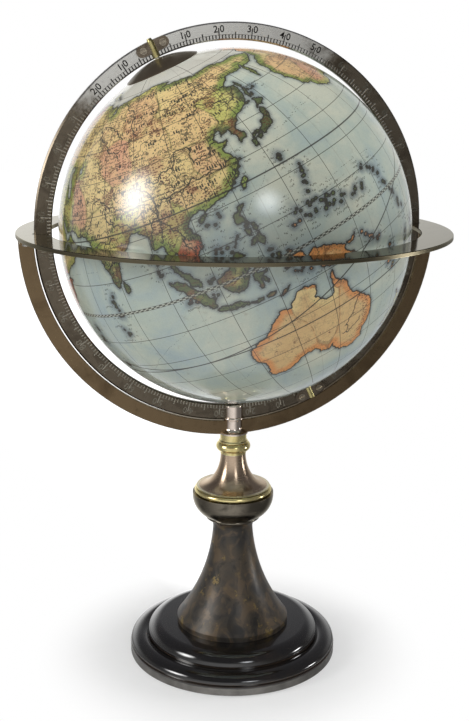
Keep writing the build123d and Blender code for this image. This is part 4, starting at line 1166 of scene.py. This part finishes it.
class MapPrint(Finish):
    """Hand-coloured print under varnish."""

    def __init__(self):
        super().__init__("map_paper")
        self.spot = self.place()
        self.east, self.north, _ = self.split(self.field("plate", "Vector"))
        self.squeeze = self.math("COSINE", self.math("RADIANS", self.north))
        self.busy = self.field("busy")
        # Flattened gore in millimetres, for marks of equal size all over
        from_seam = self.math("FLOORED_MODULO", self.minus(self.east, SEAM_LONGITUDE), GORE_SPAN)
        self.off_middle = self.minus(from_seam, GORE_SPAN / 2)
        self.flat_east = self.product(self.off_middle, self.squeeze, MM_PER_DEGREE)
        self.flat_north = self.product(self.north, MM_PER_DEGREE)
        self.plate = self.join(self.flat_east, self.flat_north)
        # Coast with a little extra wander, finer than the grid
        self.shore = self.swayed(self.field("coast"), 0.9, self.spot, 900.0, 2.0)

    def cloud(self, *settings):
        return self.noise(self.spot, *settings)

    def strokes(self, across, along, half_long, half_thick, bend=0.0, jitter=0.85):
        """Short bowed strokes scattered over the plate: a mask, and a random value for each stroke."""
        scaled = self.vector("MULTIPLY", self.plate, (1 / across, 1 / along, 0.0))
        inputs = {"Vector": scaled, "Scale": 1.0, "Randomness": jitter}
        cells = self.node("TexVoronoi", inputs, voronoi_dimensions="2D").outputs
        local = self.vector("SUBTRACT", scaled, cells["Position"])
        x, y, _ = self.split(self.vector("MULTIPLY", local, (across, along, 0.0)))
        stroke = self.line(self.add_product(self.product(x, x), bend, y), half_thick, 0.05)
        return self.product(stroke, self.line(x, half_long, 0.08)), self.split(cells["Color"])[0]

    def rows(self, pitch, row, height, run_length, share):
        """Upright ticks set in rows and broken into runs, which read as fine engraving from a step away."""
        ticks, chance = self.strokes(pitch, row, TICK_WIDTH * pitch, height / 2, jitter=ROW_JITTER)
        level = self.math("ROUND", self.math("DIVIDE", self.flat_north, row))
        along = self.join(self.math("DIVIDE", self.flat_east, run_length), self.product(level, ROW_JUMP))
        runs = self.node("TexNoise", {"Vector": along, "Scale": 1.0, "Detail": 1.0}, noise_dimensions="2D")
        kept = self.math("LESS_THAN", runs.outputs["Fac"], share)
        return self.product(ticks, kept, self.math("LESS_THAN", chance, TICKS_KEPT))

    def sea(self):
        """Sea with patchy age, shoals round small islands, hatching along the coasts, tracks and notes."""
        northward = self.ease(self.north, 5.0, 45.0, -0.02, 0.1)
        age = self.math("ADD", self.cloud(24.0, 5.0, 0.62, 0.4), northward)
        colour = self.ramp(age, (0.34, SEA_BLUE), (0.5, SEA), (0.66, SEA_TAN))
        colour = self.mix(self.ease(self.north, 58.0, 68.0, 0.0, 0.8), colour, SEA_ICE)
        isle = self.field("isle")
        near_isle = self.swayed(isle, 13.0, self.spot, 95.0, 4.0, 0.6)
        fringe = self.ease(self.add_product(self.cloud(150.0), 2.4, self.shore), -2.2, 1.2)
        ripples = self.add_product(self.cloud(300.0, 2.0), 2.2, self.product(self.flat_north, 6.4))
        hatch = self.ease(self.math("SINE", ripples), -0.35, 0.45)
        slanted = self.add_product(self.flat_north, 0.6, self.flat_east)
        dashes = self.ease(self.wave(slanted, 3.4), -0.3, 0.1)
        beside = self.product(self.ease(isle, 1.2, 1.8), self.fade(near_isle, 6.0, 8.0))
        return self.layers(
            self.mix(self.fade(near_isle, 0.2, 5.0, 0.4), colour, SEA_SHADE),
            (fringe, 0.5, SEA_SHADE),
            (self.product(hatch, self.ease(self.shore, -2.0, -0.4)), 0.42, INK),
            (self.product(self.line(self.field("track"), THIN_LINE), dashes), 0.7, INK),
            (self.product(self.rows(*NOTE_ROWS), beside), 0.8, INK),
        )

    def land(self):
        """Land washed by province and outlined in a stronger colour along coasts and borders."""
        border = self.swayed(self.field("border"), 1.4, self.spot, 260.0, 2.0)
        clouds = self.cloud(120.0, 5.0, 0.65)
        faded = self.ease(clouds, 0.35, 0.75, 0.0, 0.35)
        worn = self.ease(self.cloud(44.0, 4.0, 0.6), 0.45, 0.72, 0.0, 0.4)
        wash = self.mix(faded, self.field("wash", "Color"), WASHES["straw"])
        rim = self.field("rim", "Color")
        band = self.add_product(clouds, -3.4, self.math("ADD", self.shore, 1.7))
        colour = self.mix(self.fade(band, 1.6, 6.0, 0.95), self.mix(worn, wash, WASHES["tan"]), rim)
        colour = self.mix(self.fade(border, 0.1, 1.3, 0.35), colour, rim)
        return self.layers(colour, *self.marks(self.fade(border, 0.3, 0.5)))

    def marks(self, border):
        """Engraved borders, streams and paths that wander, rows, hills along the ridges, tufts and rivers."""
        dotted = self.ease(self.wave(self.math("ADD", self.flat_east, self.flat_north), 6.0), -0.4, 0.2)
        patchy = self.product(self.busy, self.ease(self.cloud(70.0), 0.3, 0.5))
        streams = self.line(self.minus(self.cloud(62.0, 3.0, 0.6), 0.5), 0.009, 0.004)
        paths = self.line(self.minus(self.cloud(84.0, 4.0, 0.6, 0.3), 0.47), 0.013, 0.005)
        ruddy = self.product(self.busy, self.ease(self.cloud(58.0, 3.0, 0.6), 0.56, 0.64))
        near_ridge = self.fade(self.field("hill"), 1.6, 2.8, 0.9)
        hilly = self.math("MAXIMUM", near_ridge, self.product(ruddy, 0.75))
        hills, hill_chance = self.strokes(*HILL_STROKES)
        tufts, tuft_chance = self.strokes(*TUFT_STROKES)
        tufted = self.math("LESS_THAN", tuft_chance, self.product(patchy, 0.16))
        near_river = self.fade(self.field("near_river"), 0.9, 1.3)
        return (
            (self.product(border, dotted), 0.8, INK_RED),
            (self.product(streams, self.busy), 0.8, INK),
            (self.product(paths, patchy, dotted), 0.85, INK_RED),
            (self.product(self.rows(*FINE_ROWS), patchy), 0.92, INK),
            (self.product(self.rows(*BOLD_ROWS), self.busy), 0.95, INK),
            (ruddy, 0.4, WASHES["rust"]),
            (self.product(hills, self.math("LESS_THAN", hill_chance, hilly)), 0.92, INK_RED),
            (self.product(tufts, tufted), 0.9, WASHES["fern"]),
            (self.product(self.line(self.field("river"), 0.34), near_river), 0.9, INK),
        )

    def spaced(self, value, first, step):
        """Millimetres to the nearest of the lines that are a step of degrees apart."""
        away = self.math("FLOORED_MODULO", self.math("ADD", self.minus(value, first), step / 2), step)
        return self.product(self.minus(away, step / 2), MM_PER_DEGREE)

    def hour_circles(self, step):
        return self.line(
            self.product(self.spaced(self.east, HOUR_LINE_LONGITUDE, step), self.squeeze), THIN_LINE
        )

    def circles(self, from_equator):
        """Thin parallels and hour circles, and bold tropics, polar circles and ecliptic."""
        circle = 90 - TROPIC
        within = self.math("LESS_THAN", from_equator, circle * MM_PER_DEGREE)
        thin = self.chain(
            "MAXIMUM", self.line(self.spaced(self.north, 0.0, PARALLEL_STEP), THIN_LINE),
            self.product(self.hour_circles(HOUR_LINE_STEP), within), self.hour_circles(3 * HOUR_LINE_STEP),
        )
        lean = math.radians(TROPIC)
        ecliptic_pole = Vector((math.sin(lean), 0, math.cos(lean)))
        ecliptic_pole.rotate(Matrix.Rotation(math.radians(SOLSTICE_LONGITUDE - SEAM_LONGITUDE), 3, "Z"))
        off_ecliptic = self.vector("DOT_PRODUCT", self.spot, tuple(ecliptic_pole))
        bold = self.chain(
            "MAXIMUM", self.line(self.minus(from_equator, TROPIC * MM_PER_DEGREE), BOLD_LINE),
            self.line(self.minus(from_equator, circle * MM_PER_DEGREE), 0.26),
            self.line(self.math("DIVIDE", off_ecliptic, MM), BOLD_LINE),
        )
        return (thin, 0.88, INK), (bold, 0.9, INK)

    def ladder(self, from_equator):
        """Equator as a ladder of degrees, dark and pale by turns."""
        turns = self.ease(self.wave(self.east, math.pi), -0.1, 0.1)
        rung = self.math("ABSOLUTE", self.minus(turns, self.math("GREATER_THAN", self.flat_north, 0.0)))
        within = self.fade(from_equator, LADDER - 0.05, LADDER + 0.07)
        rails = self.line(self.minus(from_equator, LADDER), 0.13)
        dark = self.math("MAXIMUM", rails, self.product(rung, within))
        return (within, 0.5, SEA_TAN), (dark, 0.88, INK)

    def finished(self):
        """The print with its coastline and lines, aged by fibres, brown spots and paste along the seams."""
        from_equator = self.product(self.math("ABSOLUTE", self.north), MM_PER_DEGREE)
        shoreline = self.line(self.math("ADD", self.shore, 0.1), BOLD_LINE, 0.1)
        colour = self.layers(
            self.mix(self.ease(self.shore, -0.08, 0.08), self.sea(), self.land()),
            (shoreline, 0.94, INK), *self.circles(from_equator), *self.ladder(from_equator),
        )
        fibre = self.cloud(1500.0, 4.0, 0.7)
        to_seam = self.minus(GORE_SPAN / 2, self.math("ABSOLUTE", self.off_middle))
        for aged in (
            self.ease(fibre, 0.3, 0.8, 0.0, 0.2),
            self.ease(self.cloud(190.0, 5.0, 0.75), 0.58, 0.74, 0.0, 0.34),
            self.fade(self.product(to_seam, self.squeeze), 0.02, 0.16, 0.3),
        ):
            colour = self.mix(aged, colour, PASTE)
        return self.surface(
            Base_Color=colour, Roughness=self.ease(fibre, 0.2, 0.8, 0.4, 0.58),
            Coat_Weight=1.0, Coat_Roughness=0.1, Coat_IOR=1.6,
            Normal=self.bump(self.add_product(fibre, 0.2, self.cloud(60.0, 2.0)), 0.25, 0.06 * MM),
        )


def metal(name, pale, deep, stain, roughness, patch, axis=2, centre=(0, 0, 0), wear=0.5, glance=1.0,
          stained=0.55, metallic=1.0, turned=0.0, rim=None):
    """Polished metal: patchy tone, fine lathe lines, dark crevices and edges worn bright.

    Turned metal draws its highlights out along the profile, across the lathe lines. A rim, the upright faces
    of a flat ring, can have a satin tone of its own.
    """
    g = Finish(name)
    place = g.vector("SUBTRACT", g.place(), centre)
    radius, height = g.around(place, axis)
    colour = g.ramp(g.noise(place, 1 / patch, 5.0, 0.62, 0.6), (0.3, deep), (0.5, pale), (0.72, pale))
    blotch = g.noise(place, 5 / patch, 4.0, 0.7)
    colour = g.mix(g.ease(blotch, 0.56, 0.78, 0.0, stained), colour, stain)
    colour = g.mix(g.crease(4 * MM, 0.25, 0.85, 0.75), colour, stain)
    lines = g.noise(g.join(radius, 0.0, height), 2600.0, 3.0, 0.7)
    rough = g.ease(g.math("ADD", lines, blotch), 0.5, 1.5, *roughness)
    if rim is not None:
        lie = g.math("ABSOLUTE", g.split(g.node("NewGeometry").outputs["Normal"])[2])
        upright = g.fade(lie, 0.4, 0.8)
        colour = g.mix(upright, colour, rim)
        rough = g.add_product(upright, 0.22, rough)
    wear_and_sheen = tuple(min(255, c * EDGE_GAIN + EDGE_LIFT) for c in rim or pale)
    return g.surface(
        Base_Color=g.mix(g.worn_edge(0.6 * MM, 0.86, wear), colour, wear_and_sheen), Metallic=metallic,
        Roughness=rough, Specular_Tint=(glance, glance * 0.98, glance * 0.9, 1.0),
        Anisotropic=turned, Anisotropic_Rotation=ALONG_PROFILE, Normal=g.bump(lines, 0.35, LATHE_DEPTH),
    )


def mottled_bronze():
    """Column: dark lacquered bronze with brown, black and golden clouds that run downward."""
    g = Finish("mottled_bronze")
    place = g.place()
    drawn_out = g.vector("MULTIPLY", place, (1.0, 1.0, 0.7))
    clouds = g.noise(drawn_out, 44.0, 4.0, 0.56, 0.5)
    patches = g.noise(drawn_out, 105.0, 3.0, 0.55, 0.8)
    flecks = g.noise(drawn_out, 190.0, 5.0, 0.7)
    colour = g.ramp(
        clouds, (0.34, (38, 36, 33)), (0.45, (60, 54, 47)), (0.55, (76, 66, 53)), (0.64, (52, 48, 43)),
    )
    golden = g.product(g.ease(flecks, 0.56, 0.63), g.ease(clouds, 0.5, 0.58, 0.0, 0.75))
    for share, tone in (
        (g.ease(patches, 0.5, 0.62, 0.0, 0.6), (102, 84, 62)),
        (g.fade(patches, 0.36, 0.46, 0.6), (30, 28, 26)),
        (golden, (138, 116, 62)), (g.crease(5 * MM, 0.3, 0.85, 0.7), (22, 18, 15)),
    ):
        colour = g.mix(share, colour, tone)
    return g.surface(
        Base_Color=colour, Metallic=g.ease(clouds, 0.36, 0.6, 0.2, 0.42),
        Roughness=g.ease(flecks, 0.25, 0.75, 0.38, 0.54), Coat_Weight=0.22, Coat_Roughness=0.3,
        Normal=g.bump(g.noise(place, 380.0), 0.2, 0.06 * MM),
    )


def lacquer():
    """Foot: gloss black lacquer, worn brown on its edges, over a disc with a bare satin rim."""
    g = Finish("black_lacquer")
    place = g.place()
    clouds = g.noise(place, 48.0, 5.0, 0.6, 0.5)
    colour = g.ramp(clouds, (0.35, (13, 11, 11)), (0.55, (20, 17, 15)), (0.75, (36, 27, 21)))
    colour = g.mix(g.worn_edge(0.8 * MM, 0.88, 0.7), colour, (96, 78, 62))
    bare = g.fade(g.swayed(g.split(place)[2], MM, place, 220.0, 4.0), *BARE_RIM)
    satin = g.ramp(g.noise(place, 90.0, 4.0), (0.3, (112, 110, 107)), (0.7, (146, 143, 139)))
    fine = g.add_product(bare, 0.6, g.noise(place, 700.0, 4.0, 0.7))
    return g.surface(
        Base_Color=g.mix(bare, colour, satin), Metallic=bare, Roughness=g.ease(fine, 0.2, 1.2, 0.12, 0.24),
        Coat_Weight=g.minus(1.0, bare), Coat_Roughness=0.035,
        Normal=g.bump(g.noise(place, 130.0), 0.14, 0.1 * MM),
    )


def ring_zones(g, place):
    """Radius and depth in the meridian ring, how near its crown is, and one on its left side, where the engraving
    is painted pale.
    """
    radius, depth = g.around(place, 1)
    toward_crown = g.math("DIVIDE", g.vector("DOT_PRODUCT", place, PAINTED_SHEEN_TOWARD), radius)
    side = g.math("DIVIDE", g.split(place)[0], radius)
    return radius, depth, toward_crown, g.fade(side, -0.1, 0.3)


def meridian_metal():
    """Ring in grey bronze: a painted reflection, pale grey, by the north pole, brown elsewhere, dark in the
    engraving.
    """
    g = Finish("meridian_bronze")
    place = g.place()
    radius, depth, toward_crown, painted_pale_side = ring_zones(g, place)
    patches = g.noise(place, 70.0, 5.0, 0.62, 0.5)
    # Painted reflection: the ring's face is painted pale grey toward the crown, by the north pole
    wear_and_sheen = g.ease(g.add_product(patches, 0.3, toward_crown), 0.86, 1.02)
    brown = g.ramp(patches, (0.3, (76, 68, 58)), (0.52, (106, 97, 84)), (0.74, (92, 84, 72)))
    colour = g.mix(wear_and_sheen, brown, (208, 206, 200))
    blotch = g.ease(g.noise(place, 420.0, 4.0, 0.7), 0.58, 0.78, 0.0, 0.15)
    colour = g.mix(blotch, colour, (76, 67, 57))
    engraved = g.ease(g.field("ink"), 0.2, 0.5)
    # Engraving with painted light: near black under the painted reflection, painted pale on the ring's left side
    wax = g.mix(wear_and_sheen, g.mix(painted_pale_side, (88, 83, 73), (150, 144, 130)), (22, 21, 20))
    lines = g.noise(g.join(radius, 0.0, depth), 2400.0, 3.0, 0.7)
    return g.surface(
        Base_Color=g.mix(engraved, colour, wax), Metallic=g.minus(1.0, engraved),
        Roughness=g.ease(g.math("ADD", lines, patches), 0.5, 1.5, 0.22, 0.34),
        Normal=g.bump(lines, 0.06, LATHE_DEPTH),
    )


def inlay_wax():
    """Wax in the engraved numbers, with painted light: near black under the ring's painted reflection, painted
    pale on its left side, dull elsewhere.
    """
    g = Finish("engraving_wax")
    place = g.place()
    _, _, toward_crown, painted_pale_side = ring_zones(g, place)
    grain = g.noise(place, 1800.0)
    dark, pale, dull = [
        g.ramp(grain, (0.3, low), (0.7, high))
        for low, high in (
            ((15, 14, 13), (30, 28, 26)), ((106, 100, 89), (138, 132, 118)), ((76, 71, 62), (98, 93, 82)),
        )
    ]
    # Painted light in the wax: near black toward the crown, painted pale on the ring's left side
    return g.surface(
        Base_Color=g.mix(g.ease(toward_crown, 0.68, 0.84), g.mix(painted_pale_side, dull, pale), dark),
        Roughness=g.ease(grain, 0.3, 0.7, 0.45, 0.7), Specular_IOR_Level=0.15,
        Normal=g.bump(grain, 0.3, 0.02 * MM),
    )


def clamp_metal():
    """Pole clamps: brown bronze plates with a brass rib over the axle, and painted shade in crevices and beside
    nearby parts.
    """
    g = Finish("clamp_bronze")
    place = g.vector("SUBTRACT", g.place(), tuple(globe_centre))
    along = g.vector("DOT_PRODUCT", place, tuple(pole))
    lift = g.node("VectorMath", {0: tuple(pole), "Scale": along}, operation="SCALE")
    off_axis = g.vector("LENGTH", g.vector("SUBTRACT", place, lift))
    patches = g.noise(place, 170.0, 5.0, 0.65)
    plate = g.ramp(patches, (0.3, (92, 82, 70)), (0.55, (122, 111, 97)), (0.75, (104, 93, 79)))
    rib = g.ramp(patches, (0.3, (170, 158, 98)), (0.7, (214, 204, 146)))
    colour = g.mix(g.ease(off_axis, *RIB_EDGE), rib, plate)
    fine = g.noise(place, 1500.0, 4.0, 0.7)
    # Painted shade: the colour darkens where occlusion from the clamp's crevices and from the ball and ring nearby
    # reaches it
    return g.surface(
        Base_Color=g.mix(g.crease(2 * MM, 0.2, 0.8, 0.8, local=False), colour, (34, 28, 20)), Metallic=1.0,
        Roughness=g.ease(fine, 0.25, 0.75, 0.18, 0.36), Normal=g.bump(fine, 0.3, LATHE_DEPTH),
    )


def felt():
    """Short dark green felt under the foot."""
    g = Finish("felt")
    place = g.place()
    fibres = g.noise(place, 1600.0, 6.0, 0.8, 1.5)
    colour = g.ramp(fibres, (0.3, (26, 34, 26)), (0.6, (58, 72, 54)), (0.8, (92, 104, 84)))
    clouds = g.ease(g.noise(place, 90.0, 4.0), 0.4, 0.7, 0.0, 0.4)
    return g.surface(
        Base_Color=g.mix(clouds, colour, (40, 46, 34)), Roughness=0.95, Sheen_Weight=0.5,
        Sheen_Roughness=0.6, Normal=g.bump(fibres, 0.8, 0.2 * MM),
    )


def leather():
    """Brown leather of the pad that the ring slides on."""
    g = Finish("leather")
    place = g.place()
    cells = g.node("TexVoronoi", {"Vector": place, "Scale": 1400.0}, feature="DISTANCE_TO_EDGE")
    grain = g.ease(cells.outputs["Distance"], 0.0, 0.25)
    colour = g.ramp(g.noise(place, 200.0, 4.0), (0.3, (62, 38, 24)), (0.7, (104, 66, 40)))
    return g.surface(
        Base_Color=g.mix(g.minus(1.0, grain), colour, (40, 24, 16)),
        Roughness=g.ease(grain, 0.0, 1.0, 0.75, 0.5), Normal=g.bump(grain, 0.5, 0.08 * MM),
    )


def plain_shell():
    """Pale speckled plastic of the ball under the paper."""
    g = Finish("ball_plastic")
    place = g.place()
    speckle = g.noise(place, 900.0, 4.0, 0.7)
    colour = g.ramp(g.noise(place, 40.0, 4.0), (0.3, (206, 198, 178)), (0.7, (222, 214, 192)))
    return g.surface(
        Base_Color=g.mix(g.ease(speckle, 0.5, 0.8, 0.0, 0.2), colour, (170, 158, 134)),
        Roughness=g.ease(speckle, 0.3, 0.7, 0.45, 0.6), Normal=g.bump(speckle, 0.2, 0.04 * MM),
    )


def wood():
    """Plain wood of the plugs inside the ball."""
    g = Finish("wood")
    grain = g.noise(g.vector("MULTIPLY", g.place(), (900.0, 900.0, 70.0)), 1.0, 5.0, 0.6, 0.8)
    colour = g.ramp(grain, (0.3, (104, 70, 40)), (0.55, (150, 106, 64)), (0.75, (176, 130, 84)))
    return g.surface(
        Base_Color=colour, Roughness=g.ease(grain, 0.3, 0.7, 0.5, 0.65), Normal=g.bump(grain, 0.3, 0.05 * MM)
    )


def make_finishes():
    """The solids' materials by the names of their slots, and those of single pieces."""
    metals = {name: metal(name, *tones, **own) for name, (*tones, own) in METALS.items()}
    return metals | {
        "black_lacquer": lacquer(), "mottled_bronze": mottled_bronze(), "clamp_bronze": clamp_metal(),
        "felt": felt(), "leather": leather(), "ball_plastic": plain_shell(), "wood": wood(),
    }


def dress_solids(finishes):
    """Gives each solid that stays in view the finish of its own or of its slot."""
    for subpart in frame["record"]["subparts"]:
        finish = finishes.get(NODE_FINISHES.get(subpart["node"], subpart["material_slot"]))
        if finish is not None:
            mesh = frame["nodes"][subpart["node"]].data
            mesh.materials.clear()
            mesh.materials.append(finish)


# Floor, light and camera
def camera_axes():
    """Place of the camera, and its right, up and backward directions."""
    level = Vector((-math.sin(CAMERA_AZIMUTH), -math.cos(CAMERA_AZIMUTH), 0))
    ring_middle = Vector((globe_centre.x, 0, globe_centre.z))
    place = ring_middle + CAMERA_DISTANCE * level + Vector((0, 0, CAMERA_RISE))
    heading = CAMERA_AZIMUTH + CAMERA_YAW
    forward = Vector((
        math.sin(heading) * math.cos(CAMERA_PITCH), math.cos(heading) * math.cos(CAMERA_PITCH),
        -math.sin(CAMERA_PITCH),
    ))
    right = forward.cross(Vector((0, 0, 1))).normalized()
    up = right.cross(forward)
    turned_right = right * math.cos(CAMERA_ROLL) + up * math.sin(CAMERA_ROLL)
    return place, turned_right, turned_right.cross(forward), -forward


def add_camera():
    """The photograph's camera."""
    place, *axes = camera_axes()
    data = bpy.data.cameras.new("camera")
    data.sensor_fit = "AUTO"
    data.sensor_width = SENSOR
    data.lens = FOCAL_PIXELS * SENSOR / IMAGE_HEIGHT
    data.clip_start = NEAR_CLIP
    turn = Matrix(axes).transposed().to_4x4()
    bpy.context.scene.camera = placed("camera", data, Matrix.Translation(place) @ turn)


def studio_tone(g, x, y):
    """Brightness that mirrors see by direction: pale sweep behind the stand, lit front, dark sides."""
    level = g.join(x, y)
    sine, cosine = math.sin(CAMERA_AZIMUTH), math.cos(CAMERA_AZIMUTH)
    toward = g.vector("DOT_PRODUCT", level, (-sine, -cosine, 0))
    sideways = g.vector("DOT_PRODUCT", level, (cosine, -sine, 0))
    turned = g.add_product(g.math("ARCTAN2", sideways, toward), 1 / math.tau, 0.5)
    return g.ramp(turned, *[(0.5 + angle / 360, (tone, tone, tone, 1.0)) for angle, tone in STUDIO_TONES])


def add_world():
    """Soft light all round, a white background for the camera, and the studio for mirrors."""
    world = bpy.data.worlds.new("studio")
    bpy.context.scene.world = world
    g = Graph(world, "OutputWorld")
    x, y, z = g.split(g.node("TexCoord").outputs["Generated"])
    soft = g.node("Background", {"Color": AMBIENT_TINT, "Strength": AMBIENT})
    tone = g.mix(g.ease(z, *CEILING_RISE), studio_tone(g, x, y), CEILING)
    mirrored = g.node("Background", {"Color": tone})
    white = g.node("Background", {"Color": WHITE})
    glossy = g.node("LightPath").outputs["Is Glossy Ray"]
    lit = g.node("MixShader", {0: glossy, 1: soft, 2: mirrored})
    g.show(g.node("MixShader", {0: g.seen_directly(), 1: lit, 2: white}))


def add_floor():
    """Pale floor that keeps the object's shadow and passes into the white background further out."""
    corners = [(x * FLOOR_REACH, y * FLOOR_REACH, 0) for x, y in ((-1, -1), (1, -1), (1, 1), (-1, 1))]
    mesh = bpy.data.meshes.new("floor")
    mesh.from_pydata(corners, [], [(0, 1, 2, 3)])
    floor = placed("floor", mesh)
    g = Finish("floor")
    place = g.place()
    colour = g.ramp(g.noise(place, 60.0, 4.0), (0.3, (246, 245, 243)), (0.7, (250, 249, 248)))
    mesh.materials.append(g.surface(Base_Color=colour, Roughness=0.9, Specular_IOR_Level=0.1))
    through = g.seen_directly()
    x, y, _ = g.split(place)
    tone = g.math("MAXIMUM", through, studio_tone(g, x, y))
    glow = g.node("Emission", {"Color": WHITE, "Strength": tone})
    mirrored = g.math("MAXIMUM", through, g.node("LightPath").outputs["Is Glossy Ray"])
    far = g.product(mirrored, g.ease(g.around(place, 2)[0], *FLOOR_FADE))
    g.show(g.node("MixShader", {0: far, 1: g.shader, 2: glow}))


def add_lamps():
    """Lamps that fade toward their rims, placed by their direction from the ball as the camera sees it."""
    _, right, up, back = camera_axes()
    for name, ((sideways, upward, toward), distance, size, power, colour, mirrored) in LAMPS.items():
        data = bpy.data.lights.new(name, "AREA")
        data.shape = "ELLIPSE"
        data.size, data.size_y = size
        data.energy = power
        data.color = colour
        g = Graph(data, "OutputLight")
        spot = g.vector("SUBTRACT", g.node("NewGeometry").outputs["Parametric"], (0.5, 0.5, 0.0))
        g.show(g.node("Emission", {"Strength": g.fade(g.vector("LENGTH", spot), 0.0, 0.5)}))
        aim = (sideways * right + upward * up + toward * back).normalized()
        lamp = placed(name, data)
        lamp.location = globe_centre + distance * aim
        lamp.rotation_euler = aim.to_track_quat("Z", "Y").to_euler()
        lamp.visible_glossy = mirrored


solid_finishes = make_finishes()
dress_solids(solid_finishes)
make_gores(MapPrint().finished())
make_meridian(meridian_metal(), inlay_wax())
make_domes(solid_finishes["dome_bronze"])
make_pin_head(solid_finishes["pin_brass"])
add_floor()
add_world()
add_lamps()
add_camera()
bpy.context.scene.view_settings.view_transform = "Standard"
